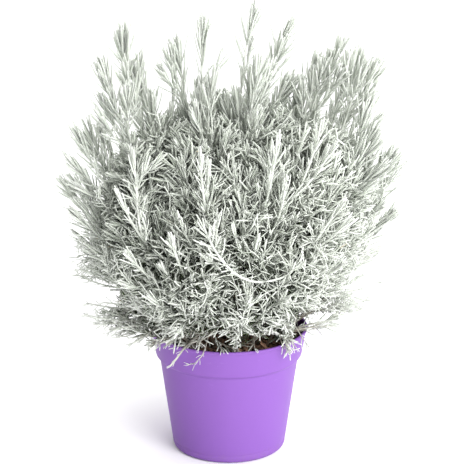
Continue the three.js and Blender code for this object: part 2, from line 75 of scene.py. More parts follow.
# Where each stem on the plant's outline ends, read from the front:
# across, depth, height, and the lean of its last stretch to the right in degrees.
OUTLINE_TIPS = (
    (-81, 10, 357, 8), (-102, -10, 335, -10), (-74, 35, 323, -8), (-42, 20, 344, -6), (-20, 8, 362, 6),
    (-11, -32, 330, 12), (21, 5, 374, 14), (26, -28, 340, 14), (53, 20, 358, 34), (72, 35, 326, 14),
    (93, 12, 345, 24), (106, 40, 326, 20), (122, 0, 330, 30), (121, 32, 293, 38), (122, -22, 272, 42),
    (143, 8, 242, 44), (136, -16, 206, 55), (126, 12, 168, 60), (122, -12, 130, 82), (90, -46, 128, 62),
    (-114, 20, 276, -8), (-125, -10, 277, -24), (-137, 10, 229, -30), (-127, -26, 212, -44),
    (-126, 6, 176, -58), (-123, -12, 158, -70), (-119, -30, 126, -55), (-96, -44, 116, -98),
)

# The same for the stems that come forward over the front of the pot.
FRONT_TIPS = (
    (-22, -112, 287, -2), (37, -106, 298, 3), (73, -84, 302, 14), (45, -106, 262, 8),
    (-6, -130, 244, 14), (-44, -127, 226, -3), (56, -118, 206, 22), (-85, -96, 251, -10),
    (89, -98, 243, 28), (-63, -101, 168, -30), (-80, -104, 205, -24), (90, -90, 191, 42),
    (16, -117, 172, 12),
)

# Where the photograph shows side shoots that end on the outline, in the same way.
SIDE_TIPS = (
    (-83, -8, 328, 0), (-94, -18, 311, -2), (-81, -25, 317, 4), (-63, -5, 307, -10),
    (-58, -12, 331, -40), (-49, 14, 336, -8), (-98, -12, 334, 6), (-103, -12, 306, -8),
    (-104, -25, 296, -14), (-72, 20, 322, 6), (-79, 25, 323, -6), (-34, 0, 296, 4), (-27, -15, 297, -6),
    (-18, 5, 311, -4), (-25, -20, 309, -2), (-1, -10, 301, -8), (6, -15, 310, -4), (-6, 10, 302, 20),
    (17, -12, 327, -4), (23, -20, 336, 2), (37, -14, 331, 28), (45, 5, 319, 0), (50, 14, 315, 6),
    (59, -5, 317, 2), (66, -8, 328, -3), (77, -18, 336, 24), (54, 10, 307, -4), (80, -8, 341, -6),
    (97, -20, 340, 30), (102, -6, 340, 24), (108, 8, 335, 24), (111, -16, 335, 28), (118, 12, 327, 30),
    (97, 15, 323, 18), (88, -25, 333, 8), (119, -8, 305, 30), (113, -15, 304, 25), (123, 5, 285, 32),
    (120, -14, 279, 36), (123, 0, 269, 42), (121, 10, 245, 60), (123, -20, 254, 12), (133, 0, 258, 28),
    (137, -10, 259, 34), (140, 5, 247, 40), (132, 20, 226, 48), (127, -5, 212, 70), (120, 20, 237, 35),
    (-130, -8, 256, -14), (-120, 10, 268, -35), (-106, 5, 277, -20), (-121, 5, 236, -30),
    (-117, -10, 223, -20), (-125, -15, 218, -50), (-121, 0, 193, -65), (-123, -18, 186, -60),
    (-122, -4, 181, -66), (-119, -4, 157, -76), (138, -6, 206, 58), (127, -6, 177, 66),
    (113, -10, 152, 75), (104, -14, 147, 80), (-87, 10, 353, 4), (46, 8, 346, 30),
)

# The sprig that hangs over the rim in front: its tip and the way it points.
TRAILING_TIP = (-48, -73, 96)
TRAILING_AIM = (-0.75, -0.3, -0.6)

# The first key of the outline's stems, of those in front, of the sprig over the rim and of those at the back.
# A key fixes what is drawn for its stem.
OUTLINE_KEY, FRONT_KEY, TRAILING_KEY, BACK_KEY = 1, 60, 90, 100

# The low boughs, and the sprig over the rim, that bear short sparse leaves rather than a brush, each with the
# length that bears them.
SPRIG_BOUGHS = {18: 110, 19: 70, 20: 34, 25: 110, 26: 110, 27: 85, 28: 70, TRAILING_KEY: 26}

# Side shoots on the outline that end below this height bear sprigs too.
LOW_BOUGHS = 200

# How large leaves are on low boughs, on low side shoots and on the sprig over the rim, against the usual.
LOW_SIZE, LOW_SIDE_SIZE, TRAILING_SIZE = 0.8, 0.75, 0.6

# The share of its leaves that a sprig keeps.
SPRIG_FILL = 0.65

# Stems at the back, row by row: lean from upright, how many, how wide they fan out, in degrees.
BACK_ROWS = ((31, 3, 112), (47, 3, 104), (62, 3, 100), (77, 1, 0))

# How far the bush reaches from its crown at each lean from upright.
REACH_BY_LEAN = ((0, 276), (20, 262), (35, 218), (50, 178), (65, 142), (90, 118))

# The crown sits at the soil's level. Feet stand a little below it, inside a circle, and are eased apart.
SOIL_TOP = 90
ROOT_DEPTH = 11
BARE_FOOT = ROOT_DEPTH + 9
CROWN = Vector((0, 0, SOIL_TOP))
FOOT_SPACING = 8.2
FOOT_CIRCLE = 34
EASING_ROUNDS = 120

# A tip this far in front or behind points forward or back about as much as it rises.
HALF_DEPTH = 140

# A solid's two twigs: how far each reaches and stands apart, and how far its start strays. Then the turns
# round the stem at which its place is looked for.
TWIG_REACHES = ((42, 17, 9), (66, 25, 14))
TWIG_TURNS = (0, 0.9, -0.9, 1.8, -1.8, 2.7)

# The outside of the pot's body and of its collar: the radius at the foot, the rise and the flare.
BODY_FOOT, BODY_RISE, BODY_FLARE = 46.4, 80.5, 11.2
COLLAR_FOOT, COLLAR_RISE, COLLAR_FLARE = 60.6, 24.5, 4.4
POT_WALL = 1.6

# Where the foliage ends low over the pot: across, depth and height.
LOW_EDGE = (
    (-60, -52, 112), (-42, -62, 110), (-20, -70, 108), (2, -72, 108), (24, -68, 108), (44, -60, 112),
    (62, -36, 128), (70, 0, 132), (66, 34, 128),
)

# Where the photographed bush is open, seen from the front: from and to across, from and to in height, the
# share of growth that is missing there, and how soft the opening's edge is. In turn: two gaps over the soil,
# the rim on the right, the air below the boughs on the right and on the left, and the air above the lowest
# bough on the left.
OPENINGS = (
    (-40, 4, 76, 96, 0.5, 3), (8, 44, 77, 95, 0.6, 3), (52, 69, 84, 116, 0.97, 3),
    (59, 160, 30, 118, 1.0, 8), (-160, -65, 30, 95, 1.0, 6), (-160, -86, 114, 152, 1.0, 16),
)

# Growth is thinner behind this depth, by this share, and in the fringe that hangs low on the left.
BACK_DEPTH, BACK_SHARE = 35, 0.75
FRINGE_LOSS = 0.7

# How leaves change down a shoot from its end: the distance from one to the next, how far each opens
# from the shoot in degrees, how long it is, where the first one stands and how far each strays from its way.
# Leading shoots end in a brush, and those in front in a tuft. The twigs that fill the bush are loose, or
# leafy near its top, and sprigs at its edge are sparse.
BRUSH = {
    "step": ((16, 0.65), (24, 0.85), (30, 1.8), (45, 3.8), (70, 4.8), (250, 7)),
    "opening": ((16, 8), (20, 13), (24, 17), (28, 21), (36, 27), (60, 33), (90, 45), (160, 55)),
    "length": ((16, 18), (20, 23), (25, 26.5), (32, 26.5), (50, 21), (72, 14), (250, 11)),
    "first": 16.0, "stray": 0.0, "small": False,
}
TUFT = {
    "step": ((14, 0.9), (22, 1.2), (28, 2.6), (45, 4.2), (70, 5.2), (250, 7)),
    "opening": ((14, 4), (18, 8), (22, 12), (26, 20), (34, 34), (60, 46), (160, 58)),
    "length": ((14, 15), (18, 20), (22, 23), (27, 20), (34, 14), (60, 12), (250, 11)),
    "first": 14.0, "stray": 0.0, "small": False,
}
LOOSE = {
    "step": ((5, 2.8), (12, 4.0), (25, 4.8), (80, 6)),
    "opening": ((5, 18), (10, 36), (18, 50), (80, 60)),
    "length": ((5, 10), (9, 11.5), (25, 12), (80, 11.5)),
    "first": 5.0, "stray": 0.95, "small": True,
}
LEAFY = {
    "step": ((6, 1.8), (14, 2.8), (30, 4.0), (80, 6)),
    "opening": ((6, 12), (14, 26), (30, 42), (80, 55)),
    "length": ((6, 13), (12, 17), (30, 15), (80, 13)),
    "first": 6.0, "stray": 0.4, "small": True,
}
SPRIG = {
    "step": ((4, 0.8), (9, 1.6), (40, 2.4), (80, 3.6)),
    "opening": ((4, 16), (9, 34), (20, 52), (80, 62)),
    "length": ((4, 9), (8, 11), (25, 10), (80, 9.5)),
    "first": 4.0, "stray": 0.4, "small": True,
}

# Sprigs that show singly, at the rim, below the boughs and over the front: the start, the middle and the tip
# of each, the size of its leaves against the usual, the length at its foot without leaves, and its radius.
SPRIGS = (
    ((44, -12, 104), (66, -14, 107.5), (92, -14, 120), 1.4, 12, 0.8),
    ((50, -13, 105), (70, -15, 106.5), (90, -15, 110), 1.2, 18, 0.6),
    ((-25, -42, 110), (-30, -48, 107), (-36, -55, 107), 0.9, 6, 0.6),
    ((-49, -27, 112), (-54, -32, 107), (-60, -38, 105), 1.0, 6, 0.6),
    ((19, -48, 114), (20, -54, 109), (21, -62, 106), 0.9, 8, 0.6),
    ((39, -42, 116), (42, -46, 108), (46, -51, 102), 0.8, 8, 0.6),
    ((46, -38, 117), (50, -42, 108), (55, -47, 101), 0.8, 8, 0.6),
    ((52, -30, 120), (58, -34, 109), (66, -39, 99), 0.9, 8, 0.6),
    ((63, -5, 123), (65, -5, 114), (67, -5, 107), 0.9, 12, 0.6),
    ((92, -5, 133), (103, -5, 131), (118, -5, 128), 1.0, 6, 0.6),
    ((-60, -30, 113), (-68, -30, 107), (-76, -30, 103), 1.0, 8, 0.6),
    ((-10, -48, 116), (-8, -56, 110), (-5, -66, 107), 0.9, 6, 0.6),
    ((52, -96, 186), (8, -123, 190), (-20, -134, 236), 1.5, 50, 1.2),
    ((-13, -52, 113), (-22, -67, 102.5), (-34, -60, 93), 0.6, 4, 0.6),
)

# Bark chips and grains lie inside this radius, and are heaped less and less towards it.
CHIP_EDGE = 60.4

# How the needles of brushes and of twigs bend, and how wide they are on the way from foot to tip.
LONG_BENDS, SMALL_BENDS = (-0.35, -0.15, 0.05, 0.25, 0.5, 0.85), (-0.5, -0.15, 0.15, 0.5, 0.85, 1.25)
LONG_STATIONS = ((0.0, 0.55), (0.32, 1.0), (0.68, 0.97), (0.95, 0.7))
SMALL_STATIONS = ((0.0, 0.65), (0.5, 1.0), (0.93, 0.75))
LONG_LENGTH, SMALL_LENGTH = 24, 12

# The camera's frame, and the height on the pot's axis that shows at a known pixel of it.
FRAME_WIDTH, SENSOR_WIDTH = 464, 36
KNOWN_HEIGHT, KNOWN_PIXEL = 52.3, (228.95, 383.7)
CAMERA_DISTANCE, CAMERA_TILT = 1.82, 22

# How much lower a point shows for each millimetre that it comes forward: the tangent of the camera's tilt.
TILT_SLOPE = 0.404

# The lamps: name, place, diameter and power. They aim at one point.
LAMPS = (("key", (1.75, -2.45, 1.95), 2.1, 112), ("low", (0.7, -2.85, 0.8), 1.2, 28))
LAMP_AIM = (0, 0, 0.15)

# The way to the brightest part of the studio.
BRIGHTEST = (0.36, 0.56, 0.71)


class PotSettings(PropertyGroup):
    wall: FloatProperty(
        name="Wall", description="Thickness of the pot's wall", default=POT_WALL * MM, unit="LENGTH"
    )
    lip: FloatProperty(
        name="Lip", description="Width of the beaded lip", default=2.4 * MM, unit="LENGTH"
    )
    sides: IntProperty(name="Sides", description="Steps in one turn of the pot", default=112, min=24)
    colour: FloatVectorProperty(
        name="Colour", description="Colour of the plastic", default=(0.225, 0.098, 0.40), subtype="COLOR"
    )


class SoilSettings(PropertyGroup):
    chips: IntProperty(name="Chips", description="How many bark chips lie on the soil", default=1300, min=0)
    chip_length: FloatProperty(
        name="Chip length", description="Length of a middling bark chip", default=6.2 * MM, unit="LENGTH"
    )
    grains: IntProperty(name="Grains", description="How many pale grains lie there", default=16, min=0)
    colour: FloatVectorProperty(
        name="Colour", description="Colour of the moist soil", default=(0.028, 0.016, 0.010), subtype="COLOR"
    )
    # Set paler than dry bark is: painted light, so that chips show brown in the bush's shade.
    bark: FloatVectorProperty(
        name="Bark", description="Colour of the dry bark", default=(0.60, 0.35, 0.23), subtype="COLOR"
    )


class BushSettings(PropertyGroup):
    leaf_width: FloatProperty(
        name="Leaf width", description="Width of a full-grown needle", default=2.15 * MM, unit="LENGTH"
    )
    small_width: FloatProperty(
        name="Small leaf width", description="Width of a twig's needle", default=1.4 * MM, unit="LENGTH"
    )
    long_shoots: IntProperty(
        name="Long shoots", description="Places that loose side shoots reach for", default=520, min=0
    )
    twig_tries: IntProperty(
        name="Twigs", description="Places where a twig grows if there is room", default=34000, min=0
    )
    density: FloatProperty(
        name="Density", description="Most leaves in each 15 mm cube of the bush", default=29.0, min=0
    )
    leaf_fill: FloatProperty(
        name="Fill", description="Leaves on a shoot, against the usual", default=1.0, subtype="FACTOR"
    )
    stem_foot: FloatProperty(
        name="Stem foot", description="Radius of a stem at the soil", default=1.2 * MM, unit="LENGTH"
    )
    young: FloatVectorProperty(
        name="Young felt", description="Colour of young leaves", default=(0.83, 0.845, 0.81), subtype="COLOR"
    )
    # Old leaves' colour, near-black and darker than old leaves are: deep in the bush it is painted shade.
    old: FloatVectorProperty(
        name="Old leaf", description="Colour of old leaves", default=(0.030, 0.047, 0.015), subtype="COLOR"
    )
    wood: FloatVectorProperty(
        name="Old wood", description="Colour of old stems", default=(0.17, 0.115, 0.075), subtype="COLOR"
    )


class StageSettings(PropertyGroup):
    floor_size: FloatProperty(
        name="Floor", description="Length of the floor's sides", default=14.0, unit="LENGTH"
    )
    floor_colour: FloatVectorProperty(
        name="Floor colour", description="Colour of the floor", default=(0.93, 0.93, 0.93), subtype="COLOR"
    )
    shade_side: FloatProperty(
        name="Shade side", description="Strength of the studio's light from the front and below", default=0.0
    )
    light_side: FloatProperty(
        name="Light side", description="Strength of the studio's light from above and behind", default=2.5
    )
    lens: FloatProperty(name="Lens", description="Focal length", default=168.36, unit="CAMERA")


# Drawing and reading by distance


def draw(which, what):
    """A fixed draw from 0 to 1 for each pair of numbers."""
    wave = math.sin(which * 12.9898 + what * 78.233) * 43758.5453
    return wave - math.floor(wave)


def spread(which, what, amount):
    """A fixed draw on both sides of nothing."""
    return (2 * draw(which, what) - 1) * amount


def read(table, at):
    """The value of a table of pairs at a place between its rows."""
    if at <= table[0][0]:
        return table[0][1]
    for (x0, y0), (x1, y1) in zip(table, table[1:]):
        if at <= x1:
            return y0 + (at - x0) / (x1 - x0) * (y1 - y0)
    return table[-1][1]


def blend_step(value, low, high):
    """Rises smoothly from 0 at low to 1 at high."""
    share = min(1, max(0, (value - low) / (high - low)))
    return share * share * (3 - 2 * share)


def way_at(turn, height):
    """The way out from the crown at a turn about the upright and a height from 0 to 1."""
    flat = math.sqrt(1 - height * height)
    return Vector((flat * math.cos(turn), flat * math.sin(turn), height))


def way_leaning(lean, depth):
    """The way that a shoot points, from its lean to the right in degrees and its way in depth."""
    return Vector((math.sin(math.radians(lean)), depth, math.cos(math.radians(lean))))


def wild(rng):
    """A vector that points any way at all."""
    return Vector(rng.uniform(-1, 1) for _ in range(3))


def tree_of(points):
    """A tree that finds the nearest of some points."""
    tree = KDTree(len(points))
    for i, point in enumerate(points):
        tree.insert(point, i)
    tree.balance()
    return tree


class Line:
    """A Bezier curve that is read by its length."""

    SAMPLES = 200

    def __init__(self, controls):
        self.controls = controls
        points = [self.point(i / self.SAMPLES) for i in range(self.SAMPLES + 1)]
        self.reached = [0.0]
        for a, b in zip(points, points[1:]):
            self.reached.append(self.reached[-1] + (b - a).length)
        self.length = self.reached[-1]

    def point(self, t):
        points = self.controls
        while len(points) > 1:
            points = [a.lerp(b, t) for a, b in zip(points, points[1:])]
        return points[0]

    def parameter(self, distance):
        distance = min(self.length, max(0, distance))
        low, high = 0, self.SAMPLES
        while high - low > 1:
            middle = (low + high) // 2
            if self.reached[middle] <= distance:
                low = middle
            else:
                high = middle
        step = self.reached[high] - self.reached[low]
        return (low + (distance - self.reached[low]) / step) / self.SAMPLES

    def at(self, distance):
        return self.point(self.parameter(distance))

    def way(self, distance):
        t = self.parameter(distance)
        low, high = max(0, t - 1e-3), min(1, t + 1e-3)
        return (self.point(high) - self.point(low)).normalized()


# The plan of the bush: stems, twigs and shoots


class Stem:
    """A stem's tip, the way it arrives there and its fixed key."""

    def __init__(self, tip, aim, key):
        self.tip = Vector(tip)
        self.aim = Vector(aim).normalized()
        self.key = key
        flat = math.hypot(self.tip.x, self.tip.y)
        self.lean = math.atan2(flat, self.tip.z - CROWN.z)
        self.side = Vector((-self.tip.y, self.tip.x, 0)).normalized()
        self.foot = None
        self.line = None


def tip_stems(tips, first_key):
    stems = []
    for i, (x, y, z, lean) in enumerate(tips):
        forward = (y / HALF_DEPTH) * (1.2 - (z - CROWN.z) / 300)
        stems.append(Stem((x, y, z), way_leaning(lean, forward), first_key + i))
    return stems


def back_stems(first_key):
    stems = []
    for row, (lean, count, fan) in enumerate(BACK_ROWS):
        for i in range(count):
            key = first_key + len(stems)
            share = i / (count - 1) - 0.5 if count > 1 else 0
            turn = (share + (0.07 if row % 2 else -0.07)) * math.radians(fan)
            azimuth = math.pi / 2 + turn + spread(key, 1, 0.1)
            tilt = math.radians(lean + spread(key, 2, 4))
            reach = read(REACH_BY_LEAN, lean) * (1 + spread(key, 3, 0.07))
            flat = Vector((math.cos(azimuth), math.sin(azimuth), 0))
            way = flat * math.sin(tilt) + UP * math.cos(tilt)
            stems.append(Stem(CROWN + way * reach, way + UP * 0.6 * math.cos(tilt), key))
    return stems


def place_feet(stems):
    """Feet start in the order of the tips, leaning ones further out, and are eased apart."""
    for i, stem in enumerate(sorted(stems, key=lambda s: s.lean)):
        flat = Vector((stem.tip.x, stem.tip.y, 0)).normalized()
        stem.foot = flat * FOOT_CIRCLE * math.sqrt((i + 0.5) / len(stems)) + UP * (SOIL_TOP - ROOT_DEPTH)
    for _ in range(EASING_ROUNDS):
        for i, a in enumerate(stems):
            for b in stems[i + 1 :]:
                apart = b.foot - a.foot
                lack = FOOT_SPACING - apart.length
                if lack > 0:
                    apart = apart.normalized() * lack / 2
                    a.foot = a.foot - apart
                    b.foot = b.foot + apart
        for stem in stems:
            r = math.hypot(stem.foot.x, stem.foot.y)
            if r > FOOT_CIRCLE:
                stem.foot.x *= FOOT_CIRCLE / r
                stem.foot.y *= FOOT_CIRCLE / r


def stem_line(stem):
    """The curve from a stem's foot to its tip. Low stems rise further before they arch over the rim."""
    outward = Vector((stem.tip.x, stem.tip.y, 0)).normalized()
    lean = min(stem.lean * 0.6, 0.42)
    start = UP * math.cos(lean) + outward * math.sin(lean)
    span = (stem.tip - stem.foot).length
    lift = 24 * blend_step(stem.lean, 1.05, 1.5)
    rising = stem.foot + start * (span * 0.42 + lift)
    return Line([stem.foot, rising, stem.tip - stem.aim * span * 0.28, stem.tip])


def side_line(stem, line, from_end, reach, apart, angle):
    """A curve that leaves a line some way below its end and bends back to grow beside it."""
    start = line.at(line.length - from_end)
    along = line.way(line.length - from_end)
    ahead = line.way(line.length - from_end / 2)
    across = along.cross(stem.side).normalized()
    outward = stem.side * math.cos(angle) + across * math.sin(angle)
    bend = start + along * reach * 0.42 + outward * apart * 0.95
    return [start, bend, start + ahead * reach + outward * apart]


def solid_twigs(stem, corners):
    """The curves of the twigs that the stem's solid has: each ends at one of the solid's corners."""
    lines = []
    for i, (reach, apart, stray) in enumerate(TWIG_REACHES):
        key = stem.key * 10 + i
        down = stem.line.length * 0.55 if i else min(66, stem.line.length * 0.5)
        down += spread(key, 4, stray)
        reach = min(reach, down * 0.72) + spread(key, 6, 6)
        apart += spread(key, 7, 4)
        found = []
        for turn in TWIG_TURNS:
            angle = draw(stem.key, 5) * 2 * math.pi + i * 2.6 + turn
            controls = side_line(stem, stem.line, down, reach, apart, angle)
            corner, _, miss = corners.find(controls[-1])
            found.append((miss, corner, controls))
        miss, corner, controls = min(found, key=lambda f: f[0])
        if miss < 4:
            lines.append(Line([*controls[:2], corner.copy()]))
    return lines


class Shoot:
    """A line with its thickness, its habit and the length at its foot that bears no leaves."""

    def __init__(self, line, stem, foot_radius, tip_radius, habit=BRUSH, size=1.0, bare=0.0):
        self.line = line
        self.stem = stem
        self.foot_radius = foot_radius
        self.tip_radius = tip_radius
        self.habit = habit
        self.size = size
        self.bare = bare

    def frame(self, distance):
        along = self.line.way(distance)
        across = along.cross(self.stem.side).normalized()
        return self.line.at(distance), along, across, across.cross(along)


def outer_radius(z):
    """The pot's outside at a height, in millimetres."""
    if z < BODY_RISE:
        return BODY_FOOT + z / BODY_RISE * BODY_FLARE
    return COLLAR_FOOT + (z - BODY_RISE) / COLLAR_RISE * COLLAR_FLARE


def clears_pot(point, room=0.7):
    """Whether a point in millimetres is clear of the pot, the soil and the ground."""
    r, z = math.hypot(point.x, point.y), point.z
    if z < room:
        return False
    if z > POT_TOP / MM + room or r > outer_radius(z) + room:
        return True
    return r < outer_radius(z) - POT_WALL - room and z > soil_height(point.x, point.y) + room


def line_clears(line, start=0.0):
    return all(clears_pot(line.at(start + (line.length - start) * i / 8)) for i in range(1, 9))


class Envelope:
    """The dome that the tips lie on, read by direction from the crown."""

    def __init__(self, points):
        self.tips = [((Vector(p) - CROWN).normalized(), (Vector(p) - CROWN).length) for p in points]

    def reach(self, way):
        total = weights = 0.0
        for tip_way, tip_reach in self.tips:
            weight = math.exp((way.dot(tip_way) - 1) / 0.02) + 1e-9
            total += weight * tip_reach
            weights += weight
        return total / weights

    def share(self, point):
        """How far out a point lies: 0 at the crown and 1 on the dome."""
        from_crown = point - CROWN
        far = from_crown.length
        return far / self.reach(from_crown / far) if far > 1 else 0.0


class Bush:
    """The whole plan: the stems, the dome they reach, and every shoot with its leaves."""

    CELL = 5.0

    def __init__(self, stems, settings):
        self.stems = stems
        self.settings = settings
        self.rng = random.Random(5)
        self.envelope = Envelope([stem.tip for stem in stems if stem.key != TRAILING_KEY] + list(LOW_EDGE))
        self.grown = {stem.key: [] for stem in stems}
        self.cells = {}

    def cell(self, point):
        return tuple(math.floor(part / self.CELL) for part in point)

    def crowding(self, point):
        """How many leaves lie in the cells around a point."""
        x, y, z = self.cell(point)
        near = (-1, 0, 1)
        return sum(self.cells.get((x + i, y + j, z + k), 0) for i in near for j in near for k in near)

    def room(self, point):
        """How many leaves may lie around a point: most near the dome, few deep inside, and fewer at the back
        and in the fringe that hangs low on the left."""
        usual = self.settings.density * blend_step(self.envelope.share(point), 0.5, 0.8)
        fringe = blend_step(-point.x, 62, 88) * (1 - blend_step(seen_height(point), 120, 190))
        return usual * (BACK_SHARE if point.y > BACK_DEPTH else 1.0) * (1 - FRINGE_LOSS * fringe)

    def plant(self, shoot):
        """Adds a shoot with its leaves. Loose and leafy shoots bear none where the bush is full."""
        leaves = []
        sparse = SPRIG_FILL if shoot.habit is SPRIG else 1
        for leaf in leaves_on(shoot, self.rng, self.settings.leaf_fill * sparse):
            place, way, _, length, _ = leaf
            middle = place + way * length / 2
            if shoot.habit in (LOOSE, LEAFY) and self.crowding(middle) > self.settings.density * 1.25:
                continue
            cell = self.cell(middle)
            self.cells[cell] = self.cells.get(cell, 0) + 1
            leaves.append(leaf)
        self.grown[shoot.stem.key].append((shoot, leaves))

    def outline_shoots(self):
        """The tip, the aim, the habit and the size of each side shoot on the photographed outline."""
        for x, y, z, lean in SIDE_TIPS:
            low = z < LOW_BOUGHS
            size = self.rng.uniform(0.9, 1.0) * (LOW_SIDE_SIZE if low else 1)
            yield Vector((x, y, z)), way_leaning(lean, y / HALF_DEPTH), SPRIG if low else BRUSH, size

    def loose_shoots(self, count):
        """The same for loose side shoots, whose tips are spread evenly below the dome. Some high ones end in
        a tuft."""
        rng = self.rng
        for i in range(count):
            height = 1 - (i + 0.5) / count * 0.86
            way = way_at(i * GOLDEN, height)
            high = height > 0.72 and rng.random() < 0.35
            share = rng.uniform(0.72, 0.86) if high else rng.uniform(0.6, 0.84)
            tip = CROWN + way * self.envelope.reach(way) * share
            if high:
                yield tip, UP * 0.4 + way + wild(rng) * 0.3, TUFT, rng.uniform(0.8, 1.0)
            else:
                yield tip, UP * 0.2 + way * 0.4 + wild(rng) * 0.9, LOOSE, rng.uniform(0.85, 1.15)

    def add_side_shoots(self, count):
        """Long side shoots, each from a stem below its tip: those on the outline first, then loose ones."""
        starts = []
        for stem in self.stems:
            down = 34.0
            while down < stem.line.length * 0.86:
                at = stem.line.length - down
                starts.append((stem, stem.line.at(at), stem.line.way(at)))
                down += 13
        crowd = {stem.key: 0 for stem in self.stems}
        for tip, aim, habit, size in [*self.outline_shoots(), *self.loose_shoots(count)]:
            best = self.best_start(starts, tip, crowd)
            if best and clears_pot(tip, 2):
                _, stem, start, along = best
                line = reaching_line(start, along, tip, aim + along * 0.3)
                held = line_held(line, self.rng) if habit is LOOSE else held_open(tip, self.rng)
                if line_clears(line, 8) and not held:
                    thick = (0.85, 0.6) if habit is LOOSE else (1.0, 0.65)
                    self.plant(Shoot(line, stem, *thick, habit, size))
                    crowd[stem.key] += 1

    def best_start(self, starts, tip, crowd):
        """Where a side shoot best leaves a stem on its way to a tip: not far off, and not at a sharp turn."""
        best = None
        for stem, start, along in starts:
            gap = tip - start
            far = gap.length
            if 30 < far < 125:
                lean = gap.dot(along) / far
                cost = abs(far - 68) / 40 + (1 - lean) * 2.6 + 0.07 * crowd[stem.key]
                if lean > 0.3 and (best is None or cost < best[0]):
                    best = (cost, stem, start, along)
        return best

    def carriers(self):
        """Places along every shoot so far, with a tree to find the nearest."""
        places = []
        for planted in self.grown.values():
            for shoot, _ in planted:
                at = shoot.line.length - 12
                while at > max(4, shoot.bare):
                    places.append((shoot.stem, shoot.line.at(at), shoot.line.way(at)))
                    at -= 6
        return places, tree_of([start for _, start, _ in places])

    def add_sprigs(self):
        """The sprigs that show singly, each from the nearest shoot and through its own middle."""
        places, tree = self.carriers()
        for start, middle, tip, size, bare, radius in SPRIGS:
            start, index, _ = tree.find(start)
            stem = places[index][0]
            bend = Vector(middle) * 2 - (start + Vector(tip)) / 2
            line = Line([start, bend, Vector(tip)])
            self.plant(Shoot(line, stem, radius, radius * 0.7, SPRIG, size, min(bare, line.length * 0.6)))

    def add_twigs(self, tries):
        """Short twigs from the nearest shoots to wherever the outer bush still has room."""
        places, tree = self.carriers()
        rng = self.rng
        for _ in range(tries):
            height = rng.uniform(0.13, 1)
            way = way_at(rng.uniform(0, 2 * math.pi), height)
            share = 0.90 + 0.04 * way.x - 0.15 * way.z * way.z - 0.36 * rng.random() ** 1.6
            tip = CROWN + way * self.envelope.reach(way) * share
            if not clears_pot(tip, 2) or self.crowding(tip) > self.room(tip) * 0.55 or held_open(tip, rng):
                continue
            best = None
            for start, index, far in tree.find_range(tip, 36):
                if far > 12:
                    stem, _, along = places[index]
                    lean = (tip - start).dot(along) / far
                    cost = abs(far - 25) / 12 + (1 - lean) * 0.8 + rng.uniform(0, 0.6)
                    if best is None or cost < best[0]:
                        best = (cost, stem, start.copy(), along, far)
            if best:
                _, stem, start, along, far = best
                leave = (along + (tip - start) / far + wild(rng) * 0.8).normalized()
                line = Line([start, start + leave * far * 0.5, tip + wild(rng) * far * 0.3, tip])
                if line_clears(line, 3) and not line_held(line, rng):
                    habit = LEAFY if rng.random() < blend_step(tip.z, 200, 290) else LOOSE
                    low_side = blend_step(abs(tip.x), 62, 88) * (1 - blend_step(tip.z, 150, 200))
                    size = rng.uniform(0.75, 1.2) * (1 - 0.3 * low_side)
                    self.plant(Shoot(line, stem, 0.7, 0.45, habit, size))


def reaching_line(start, along, tip, aim):
    gap = tip - start
    far = gap.length
    leave = (along + gap / far * 0.9).normalized()
    return Line([start, start + leave * far * 0.36, tip - aim.normalized() * far * 0.34, tip])


def seen_height(point):
    """The height at which a point shows from the front, where the camera looks down."""
    return point.z + TILT_SLOPE * point.y


def held_open(point, rng):
    """Whether growth is left out at a point, because the photographed bush is open there."""
    height = seen_height(point)
    for left, right, low, high, share, soft in OPENINGS:
        inside = min(point.x - left, right - point.x, height - low, high - height)
        if inside > 0 and rng.random() < share * blend_step(inside, 0, soft):
            return True
    return False


def line_held(line, rng):
    """Whether a shoot is left out because it would cross an opening."""
    return any(held_open(line.at(line.length * i / 8), rng) for i in range(2, 9))


def plan_bush():
    """Every stem with its line, in the order of the solids."""
    trailing = Stem(TRAILING_TIP, TRAILING_AIM, TRAILING_KEY)
    tips = [*tip_stems(OUTLINE_TIPS, OUTLINE_KEY), *tip_stems(FRONT_TIPS, FRONT_KEY)]
    stems = [*tips, trailing, *back_stems(BACK_KEY)]
    place_feet(stems)
    for stem in stems:
        stem.line = stem_line(stem)
    return stems


def soil_height(x, y):
    """The crumbly surface: a low mound with lumps, level where it meets the pot, in millimetres."""
    share = min(1, math.hypot(x, y) / 60.7)
    lumps = 0.5 * math.sin(0.37 * x + 0.41 * y + 0.7) + 0.5 * math.sin(0.37 * x - 0.41 * y + 1.9)
    lumps += 0.6 * math.sin(0.83 * x - 0.59 * y)
    return SOIL_TOP + 2.5 * (1 - share * share) + 1.1 * lumps * (1 - share**4)


# Modelling helpers


def new_verts(made):
    return [item for item in made if isinstance(item, bmesh.types.BMVert)]


def extrude_along(bm, edges, stations):
    """Draws a ring of edges through stations, each a matrix for the first ring. Returns the last ring."""
    for before, after in zip(stations, stations[1:]):
        made = bmesh.ops.extrude_edge_only(bm, edges=edges)["geom"]
        edges = [item for item in made if isinstance(item, bmesh.types.BMEdge)]
        bmesh.ops.transform(bm, matrix=after @ before.inverted(), verts=new_verts(made))
    return edges


def bevelled(bm, geom, offset, segments, affect):
    return bmesh.ops.bevel(
        bm,
        geom=geom,
        offset=offset,
        offset_type="OFFSET",
        segments=segments,
        profile=0.5,
        affect=affect,
        material=-1,
    )


def turned(bm, corners, steps):
    """Turns a profile of radius, height and rounding about the upright axis into a closed skin."""
    verts = [bm.verts.new((r, 0, z)) for r, z, _ in corners]
    for a, b in zip(verts, verts[1:]):
        bm.edges.new((a, b))
    for vert, (_, _, rounding) in zip(verts, corners):
        if rounding:
            bevelled(bm, [vert], rounding, 3, "VERTICES")
    bmesh.ops.spin(
        bm,
        geom=bm.verts[:] + bm.edges[:],
        cent=(0, 0, 0),
        axis=(0, 0, 1),
        angle=2 * math.pi,
        steps=steps,
        use_merge=True,
    )
    bmesh.ops.remove_doubles(bm, verts=bm.verts[:], dist=1e-6)
    bmesh.ops.recalc_face_normals(bm, faces=bm.faces[:])


